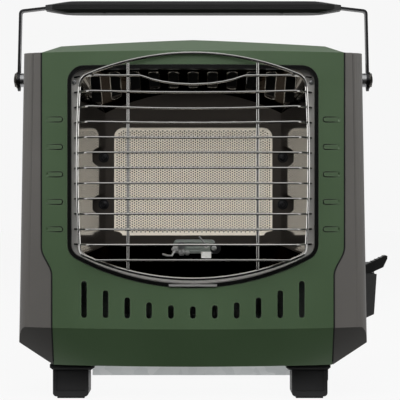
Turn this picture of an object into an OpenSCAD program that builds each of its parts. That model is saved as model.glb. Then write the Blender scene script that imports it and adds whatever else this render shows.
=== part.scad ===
// Portable gas heater: infrared plaque burner in a polished pan behind a wire guard,
// with the gas cartridge lying across the back under a hinged door.
// The heater faces -Y and stands on z = 0.

/* [Body] */
// Width across the side covers at their shoulders
body_w = 281; // [276:1:290]
// How much narrower each side is at the top
side_lean = 4; // [2:0.5:6]
// Depth from the front panel's side edges to the rear panel
body_d = 155; // [152:1:170]
// Height of the underside above the ground
base_z = 28; // [27:0.5:34]
// Height of the side covers
body_h = 251; // [248:1:258]
// Width of each side cover beside the front panel
cover_w = 19.5; // [17:0.5:21]
// How much the front panel narrows on each side at its waist
waist_in = 8.5; // [6:0.5:9.5]
// Height of the waist's middle above the underside
waist_h = 84; // [78:1:90]
// Forward bulge of the front panel at its middle
front_bulge = 19; // [17:0.5:21]
// Rise of the roof's ridge above the side covers
ridge_h = 9.8; // [8:0.2:12]
// Rise of the roof's shoulders above the side covers
shoulder_h = 5.4; // [4:0.2:7]
// Inset of the roof's shoulders from the panel's side edges
shoulder_in = 15; // [12:1:18]
// Height of the slanted lower band of the front
skirt_h = 31; // [28:1:33]
// How far the lower band slants back
skirt_in = 15; // [13:0.5:16]
// How far the upper band slants back
brow_in = 20; // [18:1:24]
// Thickness of the painted steel
skin = 1.2; // [0.8:0.1:1.5]
// Thickness of the moulded covers
cover_t = 2.5; // [2:0.1:3]
// Gap between neighbouring body pieces
seam = 0.5; // [0.3:0.1:0.8]

/* [Mouth] */
// Width of the front panel beside its mouth
mouth_side = 21; // [20:0.5:23]
// Height of the mouth's top edge above the underside
mouth_top = 240; // [238:0.5:242]
// Height of the mouth's lowest point above the underside
mouth_low = 63.6; // [62:0.2:66]
// Radius of the mouth's curved lower edge
mouth_arc = 203; // [195:1:215]
// Corner radius of the mouth
mouth_r = 13; // [10:1:16]
// Width of the black trim ring's edge
trim_t = 3.1; // [2.6:0.1:3.6]

/* [Vents] */
// Number of slots below the mouth
slot_count = 11; // [7:2:11]
// Spacing of the slots
slot_pitch = 17.3; // [16:0.1:18]
// Width of a slot
slot_w = 4.5; // [3.5:0.1:5.5]
// Height of the slots' lower ends above the underside
slot_low = 39.4; // [36:0.2:42]
// Distance from the slots' upper ends to the mouth
slot_margin = 14.3; // [12:0.1:16]
// Number of marks beside the mouth
mark_count = 5; // [3:1:5]
// Spacing of the marks
mark_pitch = 21.9; // [18:0.1:22.5]
// Length of a mark
mark_l = 15; // [12:0.5:16]
// Height of a mark
mark_h = 5; // [4:0.1:6]

/* [Burner] */
// Width of the plaque's visible face
plaque_w = 132; // [126:1:134]
// Height of the plaque's visible face
plaque_h = 90; // [86:1:92]
// Thickness of the plaque
plaque_t = 13; // [10:0.5:14]
// Lip of the pan that holds the plaque's edge
plaque_lip = 3; // [2:0.5:4]
// Height of the visible face's lower edge above the underside
plaque_low = 103.5; // [102:0.5:106]
// Depth of the pan's back behind the panel's side edges
pan_back_y = 56.3; // [52:0.5:58]
// Height of the pan's top at its mouth, above the underside
pan_top = 238.6; // [236:0.2:240]
// Thickness of the pan
pan_t = 0.8; // [0.6:0.1:1]
// Thickness of the fibre gasket
gasket_t = 1.5; // [1:0.1:2]
// Depth of the mixing chamber behind the plaque
chamber_d = 22; // [18:1:24]
// Number of louvres in the pan's top wall
louvre_count = 11; // [5:2:11]
// Spacing of the louvres
louvre_pitch = 15.8; // [14:0.1:16]
// Width of a louvre
louvre_w = 7.2; // [6:0.2:10]

/* [Guard] */
// Number of cross wires
wire_count = 13; // [13:1:13]
// Diameter of the cross wires
wire_d = 1.7; // [1.4:0.1:2]
// Diameter of the frame ring and the uprights
rod_d = 2.4; // [2:0.1:2.6]
// Gap between the side rods' middles and the mouth's edge
guard_in = 10.4; // [9:0.2:12]
// Height of the upper arch above the mouth
guard_up = 8.6; // [7:0.2:9.4]
// Height of the lower arch above the mouth's lowest point
guard_low = 7.2; // [6:0.2:8]
// Rise of the upper arch from its ends to its middle
arch_rise = 16.1; // [14:0.1:18]
// Fall of the lower arch from its ends to its middle
arch_fall = 18.2; // [16:0.1:20]
// Distance from the upper arch's top to the first cross wire
first_wire = 17.7; // [17:0.1:19]
// Distance from the last cross wire to the lower arch
last_wire = 14.9; // [14:0.1:16]
// Distance between the uprights
upright_x = 102; // [90:1:110]
// Gap between the panel's middle and the guard
guard_gap = 1.7; // [1.2:0.1:3]

/* [Cartridge bay] */
// Diameter of the gas cartridge
cartridge_d = 66; // [64:0.5:67]
// Length of the gas cartridge
cartridge_l = 178; // [172:1:179]
// Clearance round the cartridge
bay_gap = 1.6; // [1:0.1:2]
// How far the tray hangs below the underside
tray_drop = 16; // [14:0.5:18]
// Thickness of the galvanised sheet
sheet = 1; // [0.8:0.1:1.2]

/* [Handle] */
// Height of the grip's centre above the bolts
bail_h = 60.5; // [58:0.5:66]
// Gap between each side cover and the bail's arm
bail_gap = 5.3; // [4.5:0.1:7]
// Width of the bail's strip
bail_strip = 10; // [8:0.5:12]
// Thickness of the bail's strip
bail_t = 2; // [1.6:0.1:2.5]
// How far the grip ends inside the body's sides
grip_in = 16.5; // [13:0.5:20]
// Width of the grip
grip_w = 24; // [20:1:26]
// Thickness of the grip
grip_t = 9.8; // [9:0.2:11]
// Diameter of the bolts the bail swings on
bolt_d = 6; // [5:0.5:7]
// Height of the bolts above the underside
bolt_h = 234; // [230:0.5:236]

/* [Feet] */
// Width of a foot
foot_w = 29; // [24:0.5:30]
// Depth of a foot
foot_d = 30; // [26:0.5:32]
// Inset of the front feet's middles from the waist's sides
foot_in = 15.5; // [15:0.1:20]
// Sideways shift of the pair of front feet, to the left
foot_shift = 2.3; // [0:0.1:3]
// Width of a rear foot, beside the cartridge tray
rear_foot_w = 23; // [22:0.5:26]
// Distance between the rear feet's centres
rear_foot_x = 212.4; // [212:0.2:220]
// Thickness of the rubber pads
pad_t = 1.5; // [1:0.1:2]

/* [Controls] */
// Height of the lock lever's axis above the underside
lever_h = 66.7; // [64:0.1:69]
// Distance of the lock lever's tip from its axis
lever_l = 41.2; // [38:0.2:42]
// Slant of the resting lock lever
lever_tilt = 24.9; // [22:0.1:26]
// Width of the lock lever
lever_w = 14; // [10:0.5:14]
// Reach of the lever's finger from its axis
finger_r = 12; // [11:0.1:13]
// Diameter of the control knob
knob_d = 36; // [30:1:38]
// Height of the knob's axis above the underside
knob_h = 61.5; // [60:0.5:63]
// Proud height of the control bezel
bezel_h = 11.5; // [10:0.5:13]

/* [Hidden] */

$fn = 48;
seat = 0.2;          // gap between pieces that lie on each other
fit = 0.05;          // radial clearance of a running pin
slack = 0.4;         // clearance of loosely guided pieces

// Widths, from the body inwards and outwards
panel_w = body_w - 2*cover_w;
waist_w = panel_w - 2*waist_in;
mouth_w = panel_w - 2*mouth_side;
foot_x = waist_w - 2*foot_in;
bail_w = body_w + 2*bail_gap;
grip_l = body_w - 2*grip_in;

// Heights from the ground
cover_top_z = base_z + body_h;
ridge_z = cover_top_z + ridge_h;
fold_z = base_z + skirt_h;
mouth_low_z = base_z + mouth_low;
mouth_top_z = base_z + mouth_top;
bolt_z = base_z + bolt_h;

// The front is a body of revolution about an upright axis behind the heater
arc_r = (pow(panel_w/2, 2) + front_bulge*front_bulge) / (2*front_bulge);
arc_y = arc_r - front_bulge;
panel_back_y = 18;
brow_rise = ridge_z - cover_top_z + 1.2;

// Planes behind the panel
flange_y = -2;
back_y = body_d;
shoulder_z = base_z + 18;

// Reach of the part, which puts the origin below the middle of its bounding box
bail_x = bail_w/2 + bail_t;
bolt_head = 3;
lever_x = body_w/2 - 16;
lever_z = base_z + lever_h;
lever_t = 8;
left_reach = bail_x + bolt_head + seat;
right_reach = lever_x + lever_l*cos(lever_tilt) - (lever_t/2 - 1)*sin(lever_tilt);
guard_y = -front_bulge - guard_gap - rod_d/2;
wire_y = guard_y - rod_d/2 - wire_d/2 - 0.1;
front_reach = -wire_y + wire_d/2;
door_t = 3;
door_y = back_y + 0.4;
hinge_y = door_y + 3;
hinge_r = 3;
back_reach = hinge_y + hinge_r;
centre = [(right_reach - left_reach)/2, (back_reach - front_reach)/2, 0];

// Colours
green = [0.23, 0.31, 0.22];
grey = [0.33, 0.32, 0.31];
black = [0.05, 0.05, 0.05];
zinc = [0.72, 0.74, 0.74];
steel = [0.6, 0.6, 0.62];
chrome = [0.85, 0.86, 0.88];
brass = [0.78, 0.62, 0.35];
cream = [0.92, 0.88, 0.8];

// ---- shared forms ----

// Moves the heater so that its origin is below the middle of its bounding box
module place() {
    translate(-centre) children();
}

// Extrudes an outline in (x, z) from y0 to y1
module along_y(y0, y1) {
    translate([0, y1, 0]) rotate([90, 0, 0]) linear_extrude(y1 - y0) children();
}

// Extrudes an outline in (y, z) from x0 to x1
module along_x(x0, x1) {
    translate([x0, 0, 0]) rotate([90, 0, 90]) linear_extrude(x1 - x0) children();
}

// Extrudes an outline in (x, y) from z0 to z1
module along_z(z0, z1) {
    translate([0, 0, z0]) linear_extrude(z1 - z0) children();
}

module box(lo, hi) {
    translate(lo) cube(hi - lo);
}

module rod_x(x0, x1, y, z, d) {
    translate([x0, y, z]) rotate([0, 90, 0]) cylinder(h = x1 - x0, d = d);
}

module rod_y(y0, y1, x, z, d) {
    translate([x, y0, z]) rotate([-90, 0, 0]) cylinder(h = y1 - y0, d = d);
}

module mirrored() {
    children();
    mirror([1, 0, 0]) children();
}

// Upright pill outline
module pill(w, z0, z1) {
    translate([-w/2, z0 + w/2]) square([w, z1 - z0 - w]);
    translate([0, z0 + w/2]) circle(d = w);
    translate([0, z1 - w/2]) circle(d = w);
}

function unit(v) = v/norm(v);

// Tube along a path: ref is a direction that the path never follows
module sweep(path, d, ref, sides = 8, closed = false) {
    n = len(path);
    tangent = [for (i = [0:n - 1])
        unit(path[closed ? (i + 1) % n : min(i + 1, n - 1)] - path[closed ? (i + n - 1) % n : max(i - 1, 0)])];
    points = [for (i = [0:n - 1])
        let (u = unit(cross(tangent[i], ref)), v = cross(u, tangent[i]))
        for (k = [0:sides - 1]) path[i] + d/2*(cos(360*k/sides)*u + sin(360*k/sides)*v)];
    rings = closed ? n : n - 1;
    walls = [for (i = [0:rings - 1], k = [0:sides - 1])
        let (j = (i + 1) % n, m = (k + 1) % sides)
        [i*sides + k, i*sides + m, j*sides + m, j*sides + k]];
    caps = closed ? [] : [[for (k = [sides - 1:-1:0]) k], [for (k = [0:sides - 1]) (n - 1)*sides + k]];
    polyhedron(points = points, faces = concat(walls, caps), convexity = 6);
}

// ---- outlines of the body ----

// Half-width of the front panel at height z: wide beside the mouth, narrow below the waist
function waist_step(t) = t <= 0 ? 0 : t >= 1 ? 1 : t*t*(3 - 2*t);
waist_z = base_z + waist_h;
waist_half = 11;
function panel_x(z) = waist_w/2 + (panel_w - waist_w)/2*waist_step((z - waist_z + waist_half)/(2*waist_half));
waist_points = [for (i = [0:8]) let (z = waist_z - waist_half + i*waist_half/4) [panel_x(z), z]];

// Half of the panel's front outline, from the underside up to the ridge
panel_half = concat(
    [[waist_w/2, base_z]],
    waist_points,
    [[panel_w/2, cover_top_z],
     [panel_w/2 - shoulder_in, cover_top_z + shoulder_h],
     [14, ridge_z - 0.5],
     [0, ridge_z]]);

function mirror_x(points) = [for (i = [len(points) - 1:-1:0]) [-points[i][0], points[i][1]]];

module panel_outline() {
    polygon(concat(panel_half, mirror_x(panel_half)));
}

function cover_x(z) = body_w/2 - side_lean*(z - shoulder_z)/(cover_top_z - shoulder_z);

// Outer outline of the whole body, covers included
module body_outline(inset = 0) {
    offset(delta = -inset) polygon([
        [-waist_w/2 - seam, base_z], [waist_w/2 + seam, base_z],
        [body_w/2, shoulder_z], [body_w/2 - side_lean, cover_top_z],
        [-body_w/2 + side_lean, cover_top_z], [-body_w/2, shoulder_z]]);
}

// Front outline of the right cover, from the seam outward
module cover_outline() {
    polygon(concat(
        [[waist_w/2 + seam, base_z]],
        [for (p = waist_points) [p[0] + seam, p[1]]],
        [[panel_w/2 + seam, cover_top_z],
         [body_w/2 - side_lean, cover_top_z],
         [body_w/2, shoulder_z]]));
}

// Everything behind the front surface, moved inward by the given thickness
module front_form(inset = 0) {
    low_z = base_z - 20;
    high_z = ridge_z + 20;
    skirt_tan = skirt_in/skirt_h;
    brow_tan = brow_in/brow_rise;
    r = arc_r - inset;
    inner_fold = fold_z + inset*tan(atan(skirt_tan)/2);
    inner_brow = cover_top_z - inset*tan(atan(brow_tan)/2);
    translate([0, arc_y, 0]) rotate_extrude($fn = 360) polygon([
        [0, low_z],
        [r - (inner_fold - low_z)*skirt_tan, low_z],
        [r, inner_fold],
        [r, inner_brow],
        [r - (high_z - inner_brow)*brow_tan, high_z],
        [0, high_z]]);
}

// Mouth outline, grown by the given amount
module mouth_outline(grow = 0) {
    offset(delta = grow) offset(r = mouth_r, $fn = 48) offset(delta = -mouth_r) intersection() {
        translate([-mouth_w/2, mouth_low_z - 1]) square([mouth_w, mouth_top_z - mouth_low_z + 1]);
        translate([0, mouth_low_z + mouth_arc]) circle(r = mouth_arc, $fn = 160);
    }
}

function mouth_edge_z(x) = mouth_low_z + mouth_arc - sqrt(mouth_arc*mouth_arc - x*x);
// Depth of the front surface at a given x
function front_y(x) = arc_y - sqrt(arc_r*arc_r - x*x);

// ---- housing ----

module front_panel() {
    color(green) mirrored() for (i = [0:mark_count - 1]) side_tongue(i);
    color(green) difference() {
        intersection() {
            front_form();
            along_y(-front_bulge - 5, panel_back_y) panel_outline();
        }
        intersection() {
            front_form(skin);
            along_y(-front_bulge - 5, panel_back_y + 1) offset(delta = -skin) panel_outline();
        }
        along_y(-front_bulge - 5, panel_back_y - 5) mouth_outline();
        for (i = [0:slot_count - 1]) {
            x = (i - (slot_count - 1)/2)*slot_pitch;
            translate([x, 0, 0]) along_y(-front_bulge - 5, panel_back_y - 5)
                pill(slot_w, base_z + slot_low, mouth_edge_z(x) - slot_margin);
        }
        mirrored() for (i = [0:mark_count - 1]) side_groove(i);
    }
}

// Pressed mark beside the mouth: a groove round a raised tongue, both fading away from the mouth
mark_x = mouth_w/2 + 3.2;
mark_depth = 0.75;
mark_groove = 1;
mark_z = mouth_low_z + 46;
mark_tip = mark_x + mark_h/2;
mark_slope = atan((front_y(mark_x + mark_l) - front_y(mark_tip))/(mark_x + mark_l - mark_tip));

module mark_shape(in) {
    circle(d = mark_h - 2*in);
    translate([0, -mark_h/2 + in]) square([mark_l - mark_h/2, mark_h - 2*in]);
}

module side_groove(i) {
    translate([mark_tip, front_y(mark_tip) + mark_depth, mark_z + i*mark_pitch])
        rotate([0, 0, mark_slope - 3.2]) rotate([90, 0, 0]) linear_extrude(4) difference() {
            mark_shape(0);
            mark_shape(mark_groove);
        }
}

module side_tongue(i) {
    translate([mark_tip, front_y(mark_tip) - mark_depth, mark_z + i*mark_pitch])
        rotate([0, 0, mark_slope + 3.6]) rotate([90, 0, 0]) translate([0, 0, -1.4]) linear_extrude(1.4)
            mark_shape(mark_groove);
}

trim_rise = 0.6;
module trim_ring() {
    color(black) intersection() {
        front_form(-trim_rise);
        along_y(-front_bulge - 5, flange_y - seat) difference() {
            mouth_outline(-seat);
            mouth_outline(-trim_t);
        }
    }
}

// Outline that cuts away the body's sharp upright corner, leaving a rounded one
corner_r = 10;
module corner_cut() {
    inset = 13.5;
    translate([body_w/2, 0, shoulder_z]) rotate([0, -atan(side_lean/(cover_top_z - shoulder_z)), 0])
        translate([0, 0, -40]) linear_extrude(body_h + 60) polygon(concat(
            [for (a = [0:12:84]) [corner_r*(cos(a) - 1), inset - corner_r*sin(a)]],
            [[-corner_r, -20], [20, -20], [20, inset]]));
}

module cover_shell() {
    difference() {
        intersection() {
            front_form();
            along_y(-5, back_y - 1) cover_outline();
        }
        corner_cut();
        intersection() {
            front_form(cover_t + 0.8);
            along_y(-5, back_y) body_outline(cover_t);
        }
    }
}

// Boss inside a cover that takes the bail's bolt
bolt_y = 70;
boss_l = 8;
module bolt_boss() {
    rod_x(cover_x(bolt_z) - cover_t - boss_l, cover_x(bolt_z) - cover_t + 0.4, bolt_y, bolt_z, bolt_d + 8);
}

module bolt_hole() {
    rod_x(cover_x(bolt_z) - 20, cover_x(bolt_z) + 5, bolt_y, bolt_z, bolt_d + 2*fit);
}

module left_cover() {
    color(grey) mirror([1, 0, 0]) difference() {
        union() {
            cover_shell();
            bolt_boss();
        }
        bolt_hole();
    }
}

lever_y = 50;
lever_gap = 0.5;
ear_t = 4;
pin_d = 6;
ear_in = 7.5;
slot_lo_z = lever_z - 19;
slot_hi_z = lever_z + 18.2;
knob_y = 107;
knob_z = base_z + knob_h;
stem_d = 7;

// Window of the lock lever
module lever_window(x0, x1) {
    box([x0, lever_y - lever_w/2 - 1.5, slot_lo_z], [x1, lever_y + lever_w/2 + 1.5, slot_hi_z]);
}

module right_cover() {
    color(grey) difference() {
        union() {
            cover_shell();
            bolt_boss();
            for (s = [-1, 1])
                lever_ear(lever_y + s*(lever_w/2 + lever_gap + ear_t/2));
        }
        bolt_hole();
        lever_window(cover_x(lever_z) - cover_t - 2, body_w/2 + 5);
        rod_y(lever_y - 20, lever_y + 20, lever_x, lever_z, pin_d + 2*fit);
        rod_x(cover_x(knob_z) - 8, body_w/2 + 5, knob_y, knob_z, stem_d + 2);
    }
}

// Ear on the inside of the right cover that carries the lever's pin
module lever_ear(y) {
    box([lever_x - ear_in, y - ear_t/2, lever_z - ear_in],
        [cover_x(lever_z) - cover_t + 0.6, y + ear_t/2, lever_z + ear_in]);
}

// Roof sheet between the covers, with two rows of vents
roof_t = 1;
module roof_panel() {
    vent_rows = [48, 92];
    color(green) difference() {
        along_y(panel_back_y + seam, back_y - 1) difference() {
            intersection() {
                panel_outline();
                translate([-panel_w/2, cover_top_z - 9]) square([panel_w, 40]);
            }
            offset(delta = -roof_t) panel_outline();
        }
        // Side flanges stop short of the rear panel
        box([-panel_w/2 - 1, back_y - 2.4, cover_top_z - 10], [panel_w/2 + 1, back_y, cover_top_z - 1.1]);
        for (y = vent_rows, i = [-5:5]) translate([i*17.3, y, 0])
            along_z(cover_top_z, ridge_z + 5) {
                square([6, 24], center = true);
                translate([0, 12]) circle(d = 6);
                translate([0, -12]) circle(d = 6);
            }
    }
}

// ---- cartridge bay ----

bay_r = cartridge_d/2;
tray_z = base_z - tray_drop;
cartridge_z = tray_z + sheet + 0.6 + bay_r;
cartridge_y = 117;
bay_x0 = -86;
bay_x1 = bay_x0 + cartridge_l + 1.5;
socket_x = bay_x1 + 1;
bay_y0 = cartridge_y - bay_r - bay_gap;
bay_y1 = back_y - 2.2;
door_top_z = cartridge_z + bay_r + 10;
door_x0 = bay_x0 - 6;
door_x1 = bay_x1 + 6;
hinge_z = door_top_z + 2.5;
plate_x = waist_w/2 - 1;
plate_t = sheet;

module base_plate() {
    color(zinc) difference() {
        along_z(base_z + seat, base_z + seat + plate_t) polygon([
            [-plate_x, panel_back_y + seam], [plate_x, panel_back_y + seam],
            [plate_x, back_y - 2], [-plate_x, back_y - 2]]);
        box([bay_x0, bay_y0, base_z - 5], [bay_x1, bay_y1 + 5, base_z + 5]);
        for (p = foot_screw_places) translate([p[0], p[1], base_z - 5]) cylinder(h = 10, d = 4.4);
    }
}

// Tray that hangs through the base plate by its flange and carries the cartridge
tray_top = base_z + 2*seat + 2*plate_t;
module cartridge_tray() {
    color(zinc) difference() {
        union() {
            box([bay_x0 + seat, bay_y0 + seat, tray_z], [bay_x1 - seat, bay_y1, tray_top - plate_t/2]);
            along_z(tray_top - plate_t, tray_top)
                polygon([[bay_x0 - 6, bay_y0 - 6], [bay_x1 + 6, bay_y0 - 6],
                         [bay_x1 + 6, bay_y1 - 4], [bay_x0 - 6, bay_y1 - 4]]);
        }
        box([bay_x0 + seat + sheet, bay_y0 + seat + sheet, tray_z + sheet],
            [bay_x1 - seat - sheet, bay_y1 + 1, base_z + 10]);
    }
}

// Sheet that keeps the burner's heat off the cartridge
shield_z = door_top_z + 1;
shield_x1 = bay_x1 - 14;
module bay_shield() {
    y0 = bay_y0 - 7.2;
    z0 = base_z + seat + plate_t + seat;
    color(zinc) difference() {
        union() {
            box([bay_x0 - 24, y0, z0], [shield_x1, y0 + sheet, shield_z + sheet]);
            box([bay_x0 - 24, y0, shield_z], [shield_x1, back_y - 2.4, shield_z + sheet]);
            box([bay_x0 - 24, y0 - 8, z0], [shield_x1, y0 + sheet, z0 + sheet]);
        }
        for (i = [-5:5]) translate([i*14, y0 + 2, 0])
            along_y(-4, 4) pill(4, z0 + 34, z0 + 54);
    }
}

module rear_outline(inset) {
    intersection() {
        union() {
            body_outline(cover_t + inset);
            intersection() {
                panel_outline();
                translate([-panel_w/2, cover_top_z - 20]) square([panel_w, 60]);
            }
        }
        offset(delta = -roof_t - inset) panel_shape_full();
    }
}

// Body outline with the roof's ridge, used by the rear panel
module panel_shape_full() {
    union() {
        body_outline(0);
        panel_outline();
    }
}

module rear_panel() {
    color(green) {
        rear_sheet();
        for (x = knuckle_x)
            hinge_knuckle(x, knuckle_l, [hinge_z - 1.5, hinge_z + 1.5], [back_y - 1.5, hinge_y]);
    }
}

module rear_sheet() {
    difference() {
        along_y(back_y - 1.9, back_y - 1.9 + skin) difference() {
            rear_outline(seam);
            translate([door_x0 + 4, base_z - 1]) square([door_x1 - door_x0 - 8, door_top_z - base_z - 3]);
            for (row = [0:2], i = [-6:6])
                translate([i*16, 0]) pill(5, base_z + 104 + row*40, base_z + 132 + row*40);
        }
        for (z = rear_screw_z, s = [-1, 1]) rod_y(back_y - 5, back_y, s*rear_screw_x, z, 3.4);
    }
}

knuckle_l = 16;
// Rear panel's and door's hinge knuckles alternate along the pin
knuckle_x = [for (i = [-2:2]) (door_x0 + door_x1)/2 + i*(knuckle_l + 24)];

module hinge_knuckle(x, len, z_arm, y_arm) {
    difference() {
        union() {
            rod_x(x - len/2, x + len/2, hinge_y, hinge_z, 2*hinge_r);
            box([x - len/2, y_arm[0], z_arm[0]], [x + len/2, y_arm[1], z_arm[1]]);
        }
        rod_x(x - len, x + len, hinge_y, hinge_z, 3 + 2*fit);
    }
}

// ---- rear door, closed ----

module cartridge_door() {
    color(black) {
        difference() {
            union() {
                box([door_x0, door_y, base_z + 2], [door_x1, door_y + door_t - 0.4, door_top_z]);
                for (i = [-7:7]) translate([(door_x0 + door_x1)/2 + i*11, door_y + door_t - 1, 0])
                    box([-1.2, 0, base_z + 12], [1.2, 1.4, door_top_z - 14]);
                box([-14, door_y + 1, base_z + 3], [14, door_y + 6.2, base_z + 5.5]);
            }
            for (x = knuckle_x) box([x - knuckle_l/2 - 0.4, door_y - 1, door_top_z - 4.5],
                                    [x + knuckle_l/2 + 0.4, door_y + 8, door_top_z + 1]);
        }
        for (i = [0:3]) let (x = (knuckle_x[i] + knuckle_x[i + 1])/2)
            hinge_knuckle(x, 22, [door_top_z - 2, hinge_z], [door_y, door_y + door_t - 0.4]);
    }
}

module door_hinge_pin() {
    color(steel) rod_x(knuckle_x[0] - knuckle_l/2, knuckle_x[4] + knuckle_l/2, hinge_y, hinge_z, 3);
}

// ---- burner ----

pan_mouth_w = mouth_w - 15;
module pan_mouth(grow = 0) {
    offset(delta = grow) offset(r = mouth_r, $fn = 32) offset(delta = -mouth_r) intersection() {
        translate([-pan_mouth_w/2, mouth_low_z]) square([pan_mouth_w, base_z + pan_top - mouth_low_z]);
        translate([0, mouth_low_z + 5.5 + mouth_arc]) circle(r = mouth_arc, $fn = 96);
    }
}

plaque_z0 = base_z + plaque_low;
plaque_z1 = plaque_z0 + plaque_h;
pan_back_w = plaque_w + 16;
pan_back_z0 = plaque_z0 - 9.5;
pan_back_z1 = plaque_z1 + 30.5;

module pan_form(inset) {
    hull() {
        along_y(flange_y + seat, flange_y + seat + 0.01) pan_mouth(-inset);
        along_y(pan_back_y - inset - 0.01, pan_back_y - inset)
            pan_back(inset);
    }
}

// Outline of the pan's back wall, arched at the top
pan_arch = 18;
module pan_back(inset) {
    half = pan_back_w/2;
    r = (half*half + pan_arch*pan_arch)/(2*pan_arch) - inset;
    z_mid = pan_back_z1 - inset - r;
    tilt = asin((half - inset)/r);
    polygon(concat([[-half + inset, pan_back_z0 + inset], [half - inset, pan_back_z0 + inset]],
        [for (i = [0:12]) let (a = tilt*(1 - i/6)) [r*sin(a), z_mid + r*cos(a)]]));
}

// Visible outline of the plaque: rounded above, stepped corners below
module plaque_window() {
    difference() {
        union() {
            translate([-plaque_w/2, plaque_z0]) square([plaque_w, plaque_h - 8]);
            translate([-plaque_w/2 + 8, plaque_z0]) square([plaque_w - 16, plaque_h]);
            for (s = [-1, 1]) translate([s*(plaque_w/2 - 8), plaque_z1 - 8]) circle(r = 8);
        }
        for (s = [-1, 1]) translate([s*plaque_w/2, plaque_z0]) scale([1.9, 1]) circle(r = 3.6, $fn = 24);
    }
}

burner_screw_x = plaque_w/2 + 8.6;
burner_screw_z = [plaque_z0 + 25.8, plaque_z0 + 65];
pocket_r = 8.6;
pocket_y = pan_back_y - 30;
module reflector() {
    flange_hole = pan_t/2;
    color(chrome) difference() {
        union() {
            along_y(flange_y, flange_y + pan_t) difference() {
                mouth_outline(5);
                pan_mouth(-flange_hole);
            }
            difference() {
                union() {
                    pan_form(0);
                    // Pockets in the side walls that let a driver reach the burner's screws
                    mirrored() for (z = burner_screw_z)
                        rod_y(pocket_y, pan_back_y, burner_screw_x, z, 2*(pocket_r + pan_t));
                }
                hull() {
                    along_y(flange_y - 1, flange_y - 0.99) pan_mouth(-pan_t);
                    along_y(pan_back_y - pan_t - 0.01, pan_back_y - pan_t) pan_back(pan_t);
                }
            }
        }
        mirrored() for (z = burner_screw_z)
            rod_y(pocket_y + pan_t, pan_back_y - pan_t, burner_screw_x, z, 2*pocket_r);
        along_y(pan_back_y - 5, pan_back_y + 5) plaque_window();
        for (i = [0:louvre_count - 1]) translate([(i - (louvre_count - 1)/2)*louvre_pitch, 0, 0])
            along_z(plaque_z1 + 20, ridge_z) {
                translate([0, flange_y + 10]) circle(d = louvre_w);
                translate([-louvre_w/2, flange_y + 10]) square([louvre_w, 34]);
            }
    }
}

box_y0 = pan_back_y + seat;
plaque_half = plaque_w/2 + plaque_lip;
module ceramic_plaque() {
    color(cream) box([-plaque_half, box_y0, plaque_z0 - plaque_lip],
                     [plaque_half, box_y0 + plaque_t, plaque_z1 + plaque_lip]);
}

module frame_outline(grow_out, grow_in) {
    difference() {
        translate([-plaque_half - grow_out, plaque_z0 - plaque_lip - grow_out])
            square([2*(plaque_half + grow_out), plaque_h + 2*(plaque_lip + grow_out)]);
        if (grow_in > -plaque_h)
            translate([-plaque_half - grow_in, plaque_z0 - plaque_lip - grow_in])
                square([2*(plaque_half + grow_in), plaque_h + 2*(plaque_lip + grow_in)]);
    }
}

module plaque_gasket() {
    color([0.85, 0.85, 0.82]) along_y(box_y0 + 1.2, box_y0 + plaque_t)
        frame_outline(seat + gasket_t, seat);
}

box_in = 2*seat + gasket_t;
chamber_y = box_y0 + plaque_t + seat;
box_back_y = chamber_y + sheet + chamber_d;
tube_y = chamber_y + sheet + chamber_d/2;
tube_z = plaque_z0 + 9;
module burner_box() {
    color(steel) difference() {
        union() {
            along_y(box_y0, box_y0 + sheet) frame_outline(box_in + sheet + 4.5, box_in);
            along_y(box_y0, box_back_y) frame_outline(box_in + sheet, box_in);
            along_y(chamber_y, chamber_y + sheet) frame_outline(box_in, -4);
            along_y(box_back_y - sheet, box_back_y) frame_outline(box_in + sheet, -200);
        }
        rod_x(0, plaque_half + 20, tube_y, tube_z, 16);
    }
}

tube_x0 = plaque_half + box_in + sheet + seat;
tube_l = 30;
bell_l = 6;
module mixing_tube() {
    color(steel) translate([tube_x0, tube_y, tube_z]) rotate([0, 90, 0]) rotate_extrude() polygon([
        [8, 0], [11, 0], [11, 1], [9, 1], [9, tube_l - bell_l], [12, tube_l],
        [11, tube_l], [8, tube_l - bell_l]]);
}

holder_x0 = tube_x0 + tube_l + 4;
holder_w = 12;
bracket_z = tube_z - 14;
module jet_bracket() {
    x1 = holder_x0 - seat;
    color(zinc) difference() {
        union() {
            box([tube_x0, tube_y - 7, bracket_z], [x1, tube_y + 7, bracket_z + sheet]);
            box([tube_x0, tube_y - 7, bracket_z - 6], [tube_x0 + sheet, tube_y + 7, bracket_z + sheet]);
            box([x1 - sheet, tube_y - 7, bracket_z], [x1, tube_y + 7, tube_z + 8]);
        }
        rod_x(x1 - 5, x1 + 5, tube_y, tube_z, 8.4);
    }
}

// Brass block with the jet's nose reaching towards the tube's bell
module jet_holder() {
    color(brass) difference() {
        union() {
            box([holder_x0, tube_y - 6, tube_z - 6], [holder_x0 + holder_w, tube_y + 6, tube_z + 6]);
            rod_x(holder_x0 - 2, holder_x0 + 1, tube_y, tube_z, 8);
            translate([holder_x0 - 3.6, tube_y, tube_z]) rotate([0, 90, 0]) cylinder(h = 2, d1 = 3, d2 = 6);
        }
        rod_x(holder_x0 - 6, holder_x0 + 6, tube_y, tube_z, 1.2);
    }
}

pipe_d = 5;
pipe_x = holder_x0 + holder_w/2;
valve_top_z = knob_z + 10;
module gas_pipe() {
    r = 8;
    y0 = tube_y + 6 + seat;
    color(brass) {
        rod_y(y0, knob_y - r, pipe_x, tube_z, pipe_d);
        translate([pipe_x, knob_y - r, tube_z - r]) rotate([90, 0, 90]) rotate_extrude(angle = 90)
            translate([r, 0]) circle(d = pipe_d);
        translate([pipe_x, knob_y, valve_top_z + seat]) cylinder(h = tube_z - r - valve_top_z - seat, d = pipe_d);
    }
}

// ---- gas train ----

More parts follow.
